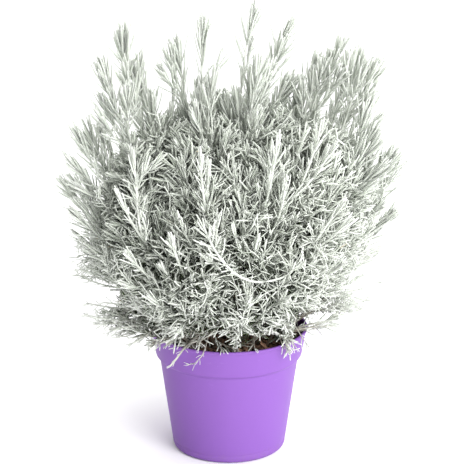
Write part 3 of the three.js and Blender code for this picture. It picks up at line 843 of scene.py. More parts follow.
def mesh_from(bm, name):
    """Turns a bmesh into a mesh and frees it."""
    mesh = bpy.data.meshes.new(name)
    bm.to_mesh(mesh)
    bm.free()
    return mesh


def smooth_mesh(bm, name, sharp=None):
    """The same with smooth faces, and with creases left sharp past an angle."""
    for face in bm.faces:
        face.smooth = True
    mesh = mesh_from(bm, name)
    if sharp:
        mesh.set_sharp_from_angle(angle=math.radians(sharp))
    return mesh


def add_object(name, data):
    made = bpy.data.objects.new(name, data)
    bpy.context.scene.collection.objects.link(made)
    return made


def add_piece(name, mesh, materials, replaced=()):
    """Puts a finished mesh in the scene as a piece of the part."""
    piece = add_object(name, mesh)
    for material in materials:
        mesh.materials.append(material)
    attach(piece, "root")
    if replaced:
        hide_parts(*replaced)
    return piece


def cut_away(piece, cutter_bm):
    """Takes the cutters' volume out of a piece."""
    cutter = add_object("cutter", mesh_from(cutter_bm, "cutter"))
    cut = piece.modifiers.new("Cut", "BOOLEAN")
    cut.operation = "DIFFERENCE"
    cut.solver = "EXACT"
    cut.object = cutter
    graph = bpy.context.evaluated_depsgraph_get()
    spent = [piece.data, cutter.data]
    piece.data = bpy.data.meshes.new_from_object(piece.evaluated_get(graph))
    piece.modifiers.clear()
    bpy.data.objects.remove(cutter)
    remove_meshes(spent)


def remove_meshes(meshes):
    for mesh in meshes:
        bpy.data.meshes.remove(mesh)


# Material helpers


def add_node(tree, kind, label="", settings=None, inputs=None):
    """Adds a node, sets it up, and links or fills its inputs by name or number."""
    made = tree.nodes.new(kind)
    made.label = label
    for name, value in (settings or {}).items():
        setattr(made, name, value)
    for name, value in (inputs or {}).items():
        if isinstance(value, bpy.types.NodeSocket):
            tree.links.new(value, made.inputs[name])
        else:
            made.inputs[name].default_value = value
    return made


def mix_colour(tree, factor, a, b, blend="MIX", label=""):
    settings = {"data_type": "RGBA", "blend_type": blend}
    return add_node(tree, "ShaderNodeMix", label, settings, {0: factor, 6: a, 7: b}).outputs[2]


def math_node(tree, operation, a, b=0.0, clamp=False):
    settings = {"operation": operation, "use_clamp": clamp}
    return add_node(tree, "ShaderNodeMath", "", settings, {0: a, 1: b}).outputs[0]


def remap(tree, value, from_low, from_high, to_low, to_high):
    """Maps a value from one range to another, held at its ends."""
    inputs = {0: value, 1: from_low, 2: from_high, 3: to_low, 4: to_high}
    return add_node(tree, "ShaderNodeMapRange", "", {"clamp": True}, inputs).outputs[0]


def noise_at(tree, label, place, scale, detail, roughness):
    inputs = {"Vector": place, "Scale": scale, "Detail": detail, "Roughness": roughness}
    return add_node(tree, "ShaderNodeTexNoise", label, None, inputs).outputs["Fac"]


def add_group(tree, group, label, inputs):
    return add_node(tree, "ShaderNodeGroup", label, {"node_tree": group}, inputs).outputs


def rgba(colour, k=1.0):
    return (colour[0] * k, colour[1] * k, colour[2] * k, 1.0)


def attribute(tree, name):
    return add_node(tree, "ShaderNodeAttribute", name, {"attribute_name": name}).outputs["Fac"]


def new_group(name, inputs, outputs):
    """A shader node group with its sockets, and its input and output nodes."""
    group = bpy.data.node_groups.new(name, "ShaderNodeTree")
    for socket, kind, value in inputs:
        made = group.interface.new_socket(socket, in_out="INPUT", socket_type=kind)
        if value is not None:
            made.default_value = value
    for socket, kind in outputs:
        group.interface.new_socket(socket, in_out="OUTPUT", socket_type=kind)
    return group, group.nodes.new("NodeGroupInput"), group.nodes.new("NodeGroupOutput")


def mottle_group():
    """Soft uneven spots at two scales, for colour, roughness and relief that are never quite even."""
    if "Mottle" in bpy.data.node_groups:
        return bpy.data.node_groups["Mottle"]
    group, source, sink = new_group(
        "Mottle",
        [
            ("Vector", "NodeSocketVector", None),
            ("Scale", "NodeSocketFloat", 100.0),
            ("Stretch", "NodeSocketVector", (1.0, 1.0, 1.0)),
            ("Fine", "NodeSocketFloat", 0.5),
        ],
        [("Mask", "NodeSocketFloat"), ("Height", "NodeSocketFloat")],
    )
    given = source.outputs
    factors = {0: given["Vector"], 1: given["Stretch"]}
    stretched = add_node(group, "ShaderNodeVectorMath", "stretched", {"operation": "MULTIPLY"}, factors)
    placed = stretched.outputs[0]
    broad = noise_at(group, "broad", placed, given["Scale"], 3.0, 0.55)
    finer = math_node(group, "MULTIPLY", given["Scale"], 6.3)
    fine = noise_at(group, "fine", placed, finer, 2.0, 0.6)
    shares = {0: given["Fine"], 2: broad, 3: fine}
    both = add_node(group, "ShaderNodeMix", "both", {"data_type": "FLOAT"}, shares).outputs[0]
    group.links.new(remap(group, both, 0.3, 0.7, 0.0, 1.0), sink.inputs["Mask"])
    group.links.new(both, sink.inputs["Height"])
    return group


def add_mottle(tree, where, scale, stretch=(1, 1, 1), fine=0.5):
    inputs = {"Vector": where, "Scale": scale, "Stretch": stretch, "Fine": fine}
    made = add_group(tree, mottle_group(), "mottle", inputs)
    return made["Mask"], made["Height"]


def felt_group():
    """The colour of felted growth: young or old, with the near-black old end also painted shade deep in the
    bush, patchy, dull or bright, with dry tan here and there.
    """
    if "Felt" in bpy.data.node_groups:
        return bpy.data.node_groups["Felt"]
    group, source, sink = new_group(
        "Felt",
        [
            ("Young", "NodeSocketColor", (0.8, 0.8, 0.8, 1)),
            ("Old", "NodeSocketColor", (0.2, 0.2, 0.2, 1)),
            ("Dry", "NodeSocketColor", (0.5, 0.42, 0.3, 1)),
            ("Age", "NodeSocketFloat", 0.0),
            ("Tone", "NodeSocketFloat", 0.5),
            ("Patches", "NodeSocketFloat", 0.5),
        ],
        [("Colour", "NodeSocketColor")],
    )
    given = source.outputs
    patchy = math_node(group, "MULTIPLY_ADD", given["Patches"], 0.22)
    patchy.node.inputs[2].default_value = -0.11
    # Darkening towards the old colour, which deep in the bush is painted shade, patchy from the mottle.
    aged_and_shaded = math_node(group, "ADD", given["Age"], patchy, clamp=True)
    colour = mix_colour(group, aged_and_shaded, given["Young"], given["Old"], label="age_and_shade")
    dull, bright = (0.69, 0.705, 0.68, 1), (1.01, 1.035, 0.985, 1)
    shade = mix_colour(group, given["Tone"], dull, bright, label="dull to bright")
    colour = mix_colour(group, 1.0, colour, shade, "MULTIPLY", "tone")
    dry = remap(group, given["Tone"], 0.035, 0.025, 0.0, 0.6)
    colour = mix_colour(group, dry, colour, given["Dry"], label="dry")
    group.links.new(colour, sink.inputs["Colour"])
    return group


def add_felt(tree, patches, young, old, dry):
    """The felt's colour, from the tone of each leaf or stem and from how old it is, which for leaves also
    holds painted shade deep in the bush.
    """
    inputs = {"Young": young, "Old": old, "Dry": dry, "Patches": patches}
    inputs.update({"Age": attribute(tree, "age_and_shade"), "Tone": attribute(tree, "tone")})
    return add_group(tree, felt_group(), "felt", inputs)["Colour"]


def start_material(name, **constants):
    """A material with its shader's constants set, its tree and its object coordinates."""
    material = bpy.data.materials.new(name)
    material.use_nodes = True
    tree = material.node_tree
    for socket, value in constants.items():
        tree.nodes["Principled BSDF"].inputs[socket.replace("_", " ")].default_value = value
    where = add_node(tree, "ShaderNodeTexCoord", "place").outputs["Object"]
    return material, tree, where


def finish_material(tree, colour, roughness, relief=None):
    """Feeds the shader its colour, its roughness, and its relief from a height, a strength and a distance."""
    shader = tree.nodes["Principled BSDF"]
    tree.links.new(colour, shader.inputs["Base Color"])
    tree.links.new(roughness, shader.inputs["Roughness"])
    if relief:
        height, strength, distance = relief
        inputs = {"Strength": strength, "Distance": distance, "Height": height}
        bump = add_node(tree, "ShaderNodeBump", "relief", None, inputs)
        tree.links.new(bump.outputs["Normal"], shader.inputs["Normal"])


def leaf_material(settings):
    """Silver felt on needles: pale margins, a greyer middle, greener as they grow old, and near-black deep in
    the bush as painted shade.
    """
    material, tree, where = start_material(
        "silver felt needles",
        Sheen_Weight=0.12,
        Sheen_Roughness=0.45,
        Specular_IOR_Level=0.2,
        Subsurface_Weight=1.0,
        Subsurface_Radius=(1, 1, 1),
        Subsurface_Scale=1.0 * MM,
    )
    mask, height = add_mottle(tree, where, 420.0, (1, 1, 0.5), 0.45)
    colour = add_felt(tree, mask, rgba(settings.young), rgba(settings.old), rgba((0.55, 0.43, 0.28)))
    middle = math_node(tree, "SUBTRACT", 1.0, attribute(tree, "margin"))
    middle = math_node(tree, "MULTIPLY", middle, remap(tree, attribute(tree, "along"), 0.75, 1.0, 0.30, 0.10))
    colour = mix_colour(tree, middle, colour, rgba((0.40, 0.47, 0.38)), "MULTIPLY", "middle")
    finish_material(tree, colour, remap(tree, mask, 0.0, 1.0, 0.72, 0.92), (height, 0.5, 0.0002))
    return material


def stem_material(settings):
    """Felted stems, white when young and weathered wood near the soil."""
    material, tree, where = start_material("felted stems", Sheen_Weight=0.25, Specular_IOR_Level=0.2)
    mask, height = add_mottle(tree, where, 300.0, (1, 1, 0.25), 0.4)
    colour = add_felt(tree, mask, rgba(settings.young, 0.95), rgba(settings.wood), rgba(settings.wood))
    finish_material(tree, colour, remap(tree, mask, 0.0, 1.0, 0.75, 0.95), (height, 0.7, 0.0003))
    return material


def plastic_material(settings):
    """Purple moulded plastic: satin, with a hint of flow lines, scuffs and a trace of dust."""
    material, tree, where = start_material("purple pot plastic", Specular_IOR_Level=0.18)
    mask, height = add_mottle(tree, where, 34.0, (1, 1, 0.35), 0.35)
    flow = remap(tree, mask, 0.0, 1.0, 0.0, 0.16)
    colour = mix_colour(tree, flow, rgba(settings.colour), rgba(settings.colour, 1.25), label="flow")
    scuff, _ = add_mottle(tree, where, 160.0, (0.25, 0.25, 3.0), 0.5)
    scuff = remap(tree, scuff, 0.9, 1.0, 0.0, 0.12)
    colour = mix_colour(tree, scuff, colour, rgba((0.62, 0.48, 0.86)), label="scuffs")
    high = add_node(tree, "ShaderNodeSeparateXYZ", "height", None, {0: where}).outputs["Z"]
    low = remap(tree, high, 0.0, 0.012, 1.0, 0.0)
    dust, _ = add_mottle(tree, where, 260.0, (1, 1, 1), 0.6)
    dust = math_node(tree, "MULTIPLY", remap(tree, dust, 0.45, 1.0, 0.0, 0.5), low)
    colour = mix_colour(tree, dust, colour, rgba((0.22, 0.15, 0.12)), label="dust")
    satin = remap(tree, mask, 0.0, 1.0, 0.44, 0.54)
    rough = math_node(tree, "ADD", satin, math_node(tree, "MULTIPLY", scuff, 0.4))
    finish_material(tree, colour, rough, (height, 0.12, 0.0006))
    return material


def soil_material(settings):
    """Moist peat with paler dry crumbs."""
    material, tree, where = start_material("moist peat", Specular_IOR_Level=0.3)
    mask, height = add_mottle(tree, where, 320.0, (1, 1, 1), 0.55)
    dry = remap(tree, mask, 0.35, 1.0, 0.0, 0.8)
    # The dry crumbs are the bark colour, dimmed, which is set pale as painted light.
    colour = mix_colour(tree, dry, rgba(settings.colour, 0.7), rgba(settings.bark, 0.4))
    finish_material(tree, colour, remap(tree, mask, 0.0, 1.0, 0.95, 0.7), (height, 0.9, 0.0015))
    return material


def bark_material(settings):
    """Bark chips: brown grain along each chip, each chip with its own tone."""
    material, tree, where = start_material("bark chips", Specular_IOR_Level=0.3)
    mask, height = add_mottle(tree, where, 500.0, (1, 0.4, 1), 0.5)
    # The chips' colours come from the bark colour, set pale as painted light for chips in the bush's shade.
    dark, pale = rgba(settings.bark, 0.22), rgba(settings.bark, 1.35)
    colour = mix_colour(tree, attribute(tree, "tone"), dark, pale, label="chip")
    grain = remap(tree, mask, 0.2, 1.0, 0.55, 0.0)
    colour = mix_colour(tree, grain, colour, rgba(settings.colour), label="grain")
    finish_material(tree, colour, remap(tree, mask, 0.0, 1.0, 0.65, 0.9), (height, 0.8, 0.0008))
    return material


def grain_material():
    """Pale mineral grains in the mix."""
    material, tree, where = start_material("pale grains", Specular_IOR_Level=0.3)
    mask, height = add_mottle(tree, where, 700.0, (1, 1, 1), 0.5)
    colour = mix_colour(tree, mask, rgba((0.55, 0.53, 0.50)), rgba((0.82, 0.81, 0.78)), label="grain")
    finish_material(tree, colour, remap(tree, mask, 0.0, 1.0, 0.8, 0.95), (height, 0.6, 0.0005))
    return material


# Leaves and stems


def draw_out(bm, stations, tip):
    """Closes a circle of edges below, draws it through its stations and brings it to a point at its tip."""
    first = bm.edges[:]
    bmesh.ops.transform(bm, matrix=stations[0], verts=bm.verts[:])
    bmesh.ops.contextual_create(bm, geom=first)
    last = extrude_along(bm, first, stations)
    ends = bmesh.ops.extrude_edge_only(bm, edges=last)["geom"]
    bmesh.ops.pointmerge(bm, verts=new_verts(ends), merge_co=tip)
    bmesh.ops.recalc_face_normals(bm, faces=bm.faces[:])


def blade_mesh(name, bend, width, stations, corners):
    """One needle that stands up from the origin, one long and so wide, and bends towards +Y.

    The first corner of its section is the keel behind; a fourth one sinks the front into a shallow channel.
    """
    bm = bmesh.new()
    margin = bm.verts.layers.float.new("margin")
    along = bm.verts.layers.float.new("along")
    bmesh.ops.create_circle(bm, segments=corners, radius=1)
    bmesh.ops.rotate(bm, verts=bm.verts[:], matrix=Matrix.Rotation(math.pi, 3, "Z"))
    for vert in bm.verts:
        if abs(vert.co.x) > 0.5:
            vert[margin] = 1.0
            vert.co.y = 0.45
        elif vert.co.y > 0:
            vert.co.y = 0.2
    depth = 0.85 if corners == 3 else 0.55
    places = []
    for share, part in stations:
        angle = bend * share
        centre = Vector((0, share * math.sin(angle / 2), share * math.cos(angle / 2)))
        across = width / 2 * part
        turn = Matrix.Rotation(-angle, 4, "X")
        section = Matrix.Diagonal((across, across * depth, 1, 1))
        places.append(Matrix.Translation(centre) @ turn @ section)
    draw_out(bm, places, Vector((0, math.sin(bend / 2), math.cos(bend / 2))))
    for vert in bm.verts:
        vert[along] = min(1, max(0, vert.co.z))
    return smooth_mesh(bm, name)


def core_mesh(shoot, sides, step):
    """The shoot's own stem: a tapering tube to just below its last leaves, closed at both ends."""
    bm = bmesh.new()
    ages = bm.verts.layers.float.new("age_and_shade")
    bmesh.ops.create_circle(bm, segments=sides, radius=1)
    length = shoot.line.length - (shoot.habit["first"] - 1.5) * shoot.size
    count = max(2, round(length / step))
    stations = []
    for i in range(count + 1):
        distance = length * i / count
        centre, along, across, side = shoot.frame(distance)
        radius = shoot.foot_radius + (shoot.tip_radius - shoot.foot_radius) * i / count
        turn = Matrix((side, across, along)).transposed().to_4x4()
        stations.append(Matrix.Translation(centre) @ turn @ Matrix.Diagonal((radius, radius, 1, 1)))
    draw_out(bm, stations, shoot.line.at(length + 2 * shoot.size))
    for vert in bm.verts:
        vert[ages] = wood_age(vert.co)
    for face in bm.faces:
        face.material_index = 1
    return smooth_mesh(bm, "core")


def leaf_age_and_depth_shade(point, envelope):
    """0 at the bush's outside and 1 deep inside it, less so near the top: old leaves inside, and painted
    shade where the bush is deep.
    """
    inside = 1 - blend_step(envelope.share(point), 0.67, 0.88)
    return inside * (1 - 0.6 * blend_step(point.z, 180, 270))


def wood_age(point):
    """0 on young felted wood and 1 on the old wood near the soil."""
    return 1 - blend_step((point - CROWN).length, 35, 115)


def leaves_on(shoot, rng, fill):
    """Each leaf of a shoot: its place, the ways that it points and faces, its length and its slackness."""
    habit, size = shoot.habit, shoot.size
    down = habit["first"] * size
    turn = rng.uniform(0, 2 * math.pi)
    while down < shoot.line.length - shoot.bare:
        place, along, across, side = shoot.frame(shoot.line.length - down)
        asked = down / size
        length = read(habit["length"], asked) * size * rng.uniform(0.82, 1.14)
        usual = math.radians(read(habit["opening"], asked))
        for _ in range(4):
            angle = turn + rng.uniform(-0.4, 0.4)
            out = side * math.cos(angle) + across * math.sin(angle)
            opening = usual * rng.uniform(0.55, 1.4)
            way = along * math.cos(opening) + out * math.sin(opening)
            if habit["stray"]:
                way = (way + wild(rng) * habit["stray"]).normalized()
            tip = place + way * length
            middle = place.lerp(tip, 0.5)
            checked = (tip, place.lerp(tip, 0.75), middle, place.lerp(tip, 0.25))
            if all(clears_pot(point) for point in checked):
                if habit is SPRIG or not (held_open(tip, rng) or held_open(middle, rng)):
                    inward = along * math.sin(opening) - out * math.cos(opening)
                    facing = inward.cross(way).cross(-way).normalized()
                    yield place, way, facing, length, min(1, opening)
                break
            turn += 1.3
        turn += GOLDEN
        down += read(habit["step"], asked) * rng.uniform(0.7, 1.3) / fill


def fill_attribute(mesh, name, value):
    layer = mesh.attributes.get(name) or mesh.attributes.new(name, "FLOAT", "POINT")
    layer.data.foreach_set("value", [value] * len(mesh.vertices))


def grow_stem(planted, blades, envelope, name, rng):
    """Joins the cores and leaves of a stem's shoots into one mesh, in metres."""
    bm = bmesh.new()
    for number, (shoot, leaves) in enumerate(planted):
        short = shoot.habit["small"]
        sides = 3 if short else 6 if number == 0 else 5
        core = core_mesh(shoot, sides, 9 if short else 10)
        fill_attribute(core, "tone", rng.uniform(0.65, 1.0))
        bm.from_mesh(core)
        bpy.data.meshes.remove(core)
        kinds = blades[short]
        for place, way, facing, length, slack in leaves:
            across = facing.cross(way)
            twist = Matrix.Rotation(rng.uniform(-0.7, 0.7), 3, "Z")
            turn = Matrix((across, facing, way)).transposed() @ twist
            middle = len(kinds) // 2 - 0.5 + rng.uniform(-0.6, 0.9)
            kind = round(middle + rng.uniform(-2, 2.2) * slack)
            blade = kinds[min(len(kinds) - 1, max(0, kind))].copy()
            blade.transform(Matrix.Translation(place) @ turn.to_4x4() @ Matrix.Scale(length, 4))
            tone = rng.random() ** 0.55 if short else rng.uniform(0.5, 1)
            # Brush and sprig leaves on the outline take a dull tone: painted shade, so that the brightly lit
            # outline shows grey.
            if shoot.habit in (BRUSH, SPRIG):
                tone = rng.uniform(0.1, 0.5)
            fill_attribute(blade, "tone", tone)
            # Leaves deep in the bush darken towards the near-black old colour: partly old leaves, partly
            # painted shade. Sprigs stay light.
            age_and_shade = 0 if shoot.habit is SPRIG else leaf_age_and_depth_shade(place + way * length * 0.5, envelope)
            age_and_shade += rng.uniform(-0.12, 0.12)
            fill_attribute(blade, "age_and_shade", min(1, max(0, age_and_shade)))
            bm.from_mesh(blade)
            bpy.data.meshes.remove(blade)
    bmesh.ops.scale(bm, vec=(MM, MM, MM), verts=bm.verts[:])
    return mesh_from(bm, name)


class BUSH_OT_pot(Operator):
    """Turns the nursery pot, with its collar, lip, foot notches and drain holes"""

    bl_idname = "bush.pot"
    bl_label = "Nursery Pot"

    def execute(self, context):
        pot = context.scene.bush_pot
        wall, lip = pot.wall, pot.lip

        def outer(z):
            return outer_radius(z / MM) * MM

        step = BODY_RISE * MM
        floor = SOIL_FLOOR - 0.4 * MM
        ring = 6.4 * MM
        corners = [
            (0, 0, 0),
            (46.5 * MM, 0, 3.2 * MM),
            (outer(ring), ring, 0.2 * MM),
            (outer(ring) - 0.22 * MM, ring + 0.3 * MM, 0.1 * MM),
            (outer(ring + 0.8 * MM), ring + 0.8 * MM, 0.2 * MM),
            (57.6 * MM, step - 1.2 * MM, 0.9 * MM),
            (60.6 * MM, step + 1.2 * MM, 0.9 * MM),
            (outer(POT_TOP) - 0.75 * MM, POT_TOP - 2.9 * MM, 0.3 * MM),
            (RIM_RADIUS, POT_TOP - 2.3 * MM, 0.4 * MM),
            (RIM_RADIUS, POT_TOP, 0.8 * MM),
            (RIM_RADIUS - lip, POT_TOP, 0.8 * MM),
            (outer(POT_TOP) - wall - 0.6 * MM, POT_TOP - 2.4 * MM, 0.4 * MM),
            (outer(step + 3 * MM) - wall, step + 3 * MM, 0.6 * MM),
            (57.6 * MM - wall, step, 0.6 * MM),
            (outer(floor) - wall, floor, 1.2 * MM),
            (0, floor, 0),
        ]
        bm = bmesh.new()
        turned(bm, corners, pot.sides)
        piece = add_piece("pot_shell", smooth_mesh(bm, "pot_shell", 40), [], ["pot"])
        cutters = bmesh.new()
        for i in range(4):
            angle = math.radians(-142 + 90 * i)
            notch = bmesh.ops.create_cube(cutters, size=1)["verts"]
            bmesh.ops.scale(cutters, vec=(29 * MM, 13 * MM, 5.2 * MM), verts=notch)
            long_edges = [
                edge
                for edge in {edge for vert in notch for edge in vert.link_edges}
                if abs(edge.verts[0].co.x - edge.verts[1].co.x) > 20 * MM
            ]
            rounded = bevelled(cutters, long_edges, 1.4 * MM, 4, "EDGES")
            notch = list({vert for face in rounded["faces"] for vert in face.verts})
            turn = Matrix.Rotation(angle, 4, "Z")
            bmesh.ops.transform(cutters, matrix=turn @ Matrix.Translation((35.5 * MM, 0, 0)), verts=notch)
            drain = bmesh.ops.create_cone(
                cutters, cap_ends=True, segments=24, radius1=4 * MM, radius2=4 * MM, depth=20 * MM
            )["verts"]
            bmesh.ops.transform(cutters, matrix=turn @ Matrix.Translation((37 * MM, 0, 0)), verts=drain)
        cut_away(piece, cutters)
        piece.data.name = "pot_shell"
        piece.data.materials.clear()
        piece.data.materials.append(plastic_material(pot))
        piece.data.set_sharp_from_angle(angle=math.radians(40))
        return {"FINISHED"}


class BUSH_OT_soil(Operator):
    """Fills the pot with potting soil, with a crumbly top"""

    bl_idname = "bush.soil"
    bl_label = "Potting Soil"

    def execute(self, context):
        soil = context.scene.bush_soil
        top = SOIL_TOP * MM
        inside = (outer_radius(SOIL_TOP) - 1.9) * MM
        rings = (0.98, 0.94, 0.88, 0.8, 0.72, 0.64, 0.56, 0.47, 0.38, 0.28, 0.18, 0.09)
        corners = [
            (0, SOIL_FLOOR, 0),
            (44.9 * MM, SOIL_FLOOR, 1.2 * MM),
            (55.6 * MM, 80.5 * MM, 0.5 * MM),
            (55.6 * MM, 82.5 * MM, 0.5 * MM),
            (inside, top - 1.0 * MM, 0),
            *[(inside * share, top, 0) for share in rings],
            (0, top, 0),
        ]
        bm = bmesh.new()
        turned(bm, corners, 72)
        upper = [face for face in bm.faces if min(vert.co.z for vert in face.verts) > top - 0.1 * MM]
        edges = list({edge for face in upper for edge in face.edges if not edge.is_boundary})
        bmesh.ops.subdivide_edges(bm, edges=edges, cuts=2, use_grid_fill=True)
        for vert in bm.verts:
            if vert.co.z > top - 0.1 * MM:
                x, y = vert.co.x / MM, vert.co.y / MM
                fade = 1 - min(1, math.hypot(x, y) / 60.2) ** 8
                crumbs = noise.fractal(Vector((x, y, 0)) * 0.28, 0.8, 2.1, 4) * 1.3
                crumbs += abs(noise.noise(Vector((x, y, 7)) * 0.55)) * 1.4 - 0.6
                vert.co.z = (soil_height(x, y) + crumbs * fade - 0.5) * MM
        add_piece("soil_bed", smooth_mesh(bm, "soil_bed"), [soil_material(soil)], ["soil"])
        return {"FINISHED"}


class BUSH_OT_bark(Operator):
    """Scatters bark chips and a few pale grains over the soil"""

    bl_idname = "bush.bark"
    bl_label = "Bark Chips"

    def chip(self, number):
        """A splinter of bark, one long, with a split end and broken edges."""
        rng = random.Random(700 + number)
        bm = bmesh.new()
        bmesh.ops.create_cube(bm, size=1)
        bmesh.ops.scale(bm, vec=(1, rng.uniform(0.3, 0.55), rng.uniform(0.12, 0.22)), verts=bm.verts[:])
        for _ in range(2):
            across = Vector((rng.choice((-1, 1)), rng.uniform(-0.9, 0.9), rng.uniform(-0.3, 0.3)))
            bmesh.ops.bisect_plane(
                bm,
                geom=bm.verts[:] + bm.edges[:] + bm.faces[:],
                plane_co=across.normalized() * rng.uniform(0.3, 0.42),
                plane_no=across,
                clear_outer=True,
            )
            bmesh.ops.holes_fill(bm, edges=[edge for edge in bm.edges if edge.is_boundary])
        for vert in bm.verts:
            vert.co += Vector((rng.uniform(-0.05, 0.05), rng.uniform(-0.05, 0.05), rng.uniform(-0.04, 0.04)))
        bmesh.ops.triangulate(bm, faces=bm.faces[:])
        bmesh.ops.recalc_face_normals(bm, faces=bm.faces[:])
        return mesh_from(bm, "chip")

    def scatter(self, name, material, shapes, count, length, sink, rng):
        """Lays copies of shapes over the soil, tilted, partly sunk and heaped up towards the front."""
        bm = bmesh.new()
        for _ in range(count):
            shape = rng.choice(shapes).copy()
            size = length * rng.choice((0.45, 0.6, 0.8, 1.0, 1.3))
            r = 59.0 * math.sqrt(rng.random())
            r = min(r, CHIP_EDGE - 0.5 * size)
            angle = rng.uniform(0, 2 * math.pi)
            x, y = r * math.cos(angle), r * math.sin(angle)
            tilt = Matrix.Rotation(rng.gauss(0, 0.28), 4, "X") @ Matrix.Rotation(rng.gauss(0, 0.28), 4, "Y")
            heap = rng.choice((0, 0, 1.2, 2.4)) + rng.choice((0, 1.5, 3.0, 4.5, 6.0)) * blend_step(-y, -6, 18)
            heap *= min(1, (CHIP_EDGE - r) / 8)
            place = Matrix.Translation((x, y, soil_height(x, y) + size * sink * rng.uniform(0.2, 1.4) + heap))
            turn = Matrix.Rotation(rng.uniform(0, 2 * math.pi), 4, "Z")
            shape.transform(place @ turn @ tilt @ Matrix.Scale(size, 4))
            fill_attribute(shape, "tone", rng.random() ** 1.4)
            bm.from_mesh(shape)
            bpy.data.meshes.remove(shape)
        bmesh.ops.scale(bm, vec=(MM, MM, MM), verts=bm.verts[:])
        add_piece(name, mesh_from(bm, name), [material])

    def execute(self, context):
        soil = context.scene.bush_soil
        rng = random.Random(41)
        chips = [self.chip(number) for number in range(6)]
        self.scatter("bark_chips", bark_material(soil), chips, soil.chips, soil.chip_length / MM, 0.12, rng)
        ball = bmesh.new()
        bmesh.ops.create_icosphere(ball, subdivisions=2, radius=0.5)
        for vert in ball.verts:
            vert.co *= 1 + 0.35 * noise.noise(vert.co * 4)
        grains = [smooth_mesh(ball, "grain")]
        self.scatter("pale_grains", grain_material(), grains, soil.grains, 2.6, 0.15, rng)
        remove_meshes(chips + grains)
        return {"FINISHED"}


class BUSH_OT_stems(Operator):
    """Grows every leafy stem over its solid: its twigs, side shoots, tufts and needles"""

    bl_idname = "bush.stems"
    bl_label = "Leafy Stems"

    def plant_solid(self, bush, stem, node, foot_radius):
        """Plants a stem and its twigs where the stem's solid has them."""
        corners = tree_of([vert.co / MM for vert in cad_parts[node].data.vertices])
        miss = corners.find(stem.tip)[2]
        if miss > 1:
            raise RuntimeError(f"{node} doesn't end where its plan does: {miss:.1f} mm off")
        habit = TUFT if FRONT_KEY <= stem.key < TRAILING_KEY else BRUSH
        twig_habit, size, bare = TUFT, 1.0, BARE_FOOT
        if stem.key in SPRIG_BOUGHS:
            habit = twig_habit = SPRIG
            size = TRAILING_SIZE if stem.key == TRAILING_KEY else LOW_SIZE
            bare = stem.line.length - SPRIG_BOUGHS[stem.key]
        bush.plant(Shoot(stem.line, stem, foot_radius, 0.9, habit, size, bare))
        for line in solid_twigs(stem, corners):
            bush.plant(Shoot(line, stem, 1.1, 0.7, twig_habit, size))

    def execute(self, context):
        settings = context.scene.bush_bush
        stems = plan_bush()
        if len(stems) != len(STEM_NODES):
            raise RuntimeError("the plan has another number of stems than the packed part")
        bush = Bush(stems, settings)
        for stem, node in zip(stems, STEM_NODES):
            self.plant_solid(bush, stem, node, settings.stem_foot / MM)
        bush.add_side_shoots(settings.long_shoots)
        bush.add_sprigs()
        bush.add_twigs(settings.twig_tries)
        wide, narrow = settings.leaf_width / MM / LONG_LENGTH, settings.small_width / MM / SMALL_LENGTH
        needles = [blade_mesh("needle", bend, wide, LONG_STATIONS, 4) for bend in LONG_BENDS]
        small = [blade_mesh("small needle", bend, narrow, SMALL_STATIONS, 3) for bend in SMALL_BENDS]
        materials = [leaf_material(settings), stem_material(settings)]
        for number, (stem, node) in enumerate(zip(stems, STEM_NODES), 1):
            name = f"needle_stem_{number:02d}"
            rng = random.Random(1000 + stem.key)
            mesh = grow_stem(bush.grown[stem.key], (needles, small), bush.envelope, name, rng)
            add_piece(name, mesh, materials, [node])
        remove_meshes(needles + small)
        return {"FINISHED"}


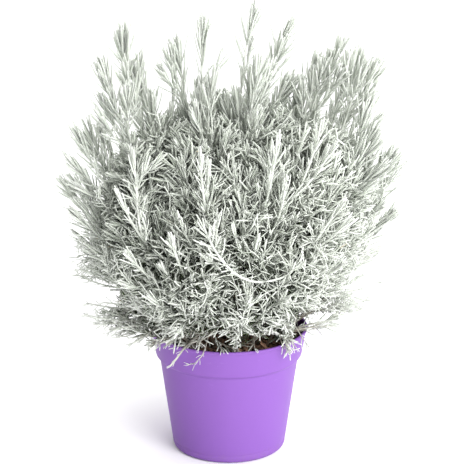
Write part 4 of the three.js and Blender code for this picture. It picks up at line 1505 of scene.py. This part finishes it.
class BUSH_OT_stage(Operator):
    """Lays the pale floor, sets soft studio lights and places the camera"""

    bl_idname = "bush.stage"
    bl_label = "Stage"

    def lay_floor(self, stage):
        bm = bmesh.new()
        bmesh.ops.create_grid(bm, x_segments=8, y_segments=8, size=stage.floor_size / 2)
        mesh = smooth_mesh(bm, "floor")
        material, tree, where = start_material("pale floor", Specular_IOR_Level=0.1)
        mask, _ = add_mottle(tree, where, 3.0)
        colour = mix_colour(tree, mask, rgba(stage.floor_colour, 0.985), rgba(stage.floor_colour))
        finish_material(tree, colour, remap(tree, mask, 0.0, 1.0, 0.85, 0.9))
        mesh.materials.append(material)
        floor = add_object("floor", mesh)

    def light_studio(self, context, stage):
        world = bpy.data.worlds.new("studio")
        world.use_nodes = True
        tree = world.node_tree
        back = tree.nodes["Background"]
        back.inputs["Color"].default_value = (1, 1, 1, 1)
        towards = add_node(tree, "ShaderNodeTexCoord", "way").outputs["Generated"]
        ways = {0: towards, 1: BRIGHTEST}
        facing = add_node(tree, "ShaderNodeVectorMath", "facing", {"operation": "DOT_PRODUCT"}, ways)
        strength = remap(tree, facing.outputs["Value"], -0.15, 1.0, stage.shade_side, stage.light_side)
        tree.links.new(strength, back.inputs["Strength"])
        context.scene.world = world
        for name, place, size, power in LAMPS:
            lamp = bpy.data.lights.new(name, "AREA")
            lamp.shape = "DISK"
            lamp.size = size
            lamp.energy = power
            made = add_object(name, lamp)
            made.location = place
            made.rotation_euler = (Vector(LAMP_AIM) - Vector(place)).to_track_quat("-Z", "Y").to_euler()
        context.scene.view_settings.view_transform = "Standard"

    def place_camera(self, context, stage):
        """The camera looks down by its tilt, so that the known height shows at its pixel."""
        camera = bpy.data.cameras.new("camera")
        camera.sensor_width = SENSOR_WIDTH
        camera.lens = stage.lens
        camera.clip_start, camera.clip_end = 0.1, 50
        eye = add_object("camera", camera)
        tilt = math.radians(CAMERA_TILT)
        known = Vector((0, 0, KNOWN_HEIGHT * MM))
        eye.location = known + Vector((0, -math.cos(tilt), math.sin(tilt))) * CAMERA_DISTANCE
        pixel = SENSOR_WIDTH / FRAME_WIDTH / stage.lens
        middle = FRAME_WIDTH / 2
        seen = Vector(((KNOWN_PIXEL[0] - middle) * pixel, (middle - KNOWN_PIXEL[1]) * pixel, -1))
        turn = (known - eye.location).to_track_quat("-Z", "Y") @ seen.rotation_difference(Vector((0, 0, -1)))
        eye.rotation_euler = turn.to_euler()
        context.scene.camera = eye

    def execute(self, context):
        stage = context.scene.bush_stage
        self.lay_floor(stage)
        self.light_studio(context, stage)
        self.place_camera(context, stage)
        return {"FINISHED"}


class BUSH_PT_panel(Panel):
    """Lists the pieces in the sidebar"""

    bl_idname = "BUSH_PT_panel"
    bl_label = "Potted Cushion Bush"
    bl_space_type = "VIEW_3D"
    bl_region_type = "UI"
    bl_category = "Bush"

    def draw(self, context):
        scene = context.scene
        for operator, settings in (
            ("bush.pot", scene.bush_pot),
            ("bush.soil", scene.bush_soil),
            ("bush.bark", None),
            ("bush.stems", scene.bush_bush),
            ("bush.stage", scene.bush_stage),
        ):
            box = self.layout.box()
            box.operator(operator)
            if settings:
                for name in settings.__annotations__:
                    box.prop(settings, name)


CLASSES = (
    PotSettings,
    SoilSettings,
    BushSettings,
    StageSettings,
    BUSH_OT_pot,
    BUSH_OT_soil,
    BUSH_OT_bark,
    BUSH_OT_stems,
    BUSH_OT_stage,
    BUSH_PT_panel,
)

GROUPS = {
    "bush_pot": PotSettings,
    "bush_soil": SoilSettings,
    "bush_bush": BushSettings,
    "bush_stage": StageSettings,
}


def register():
    for cls in CLASSES:
        bpy.utils.register_class(cls)
    for name, group in GROUPS.items():
        setattr(bpy.types.Scene, name, PointerProperty(type=group))


def unregister():
    for name in GROUPS:
        delattr(bpy.types.Scene, name)
    for cls in reversed(CLASSES):
        bpy.utils.unregister_class(cls)


def main():
    register()
    bpy.ops.bush.pot()
    bpy.ops.bush.soil()
    bpy.ops.bush.bark()
    bpy.ops.bush.stems()
    bpy.ops.bush.stage()


if __name__ == "__main__":
    main()
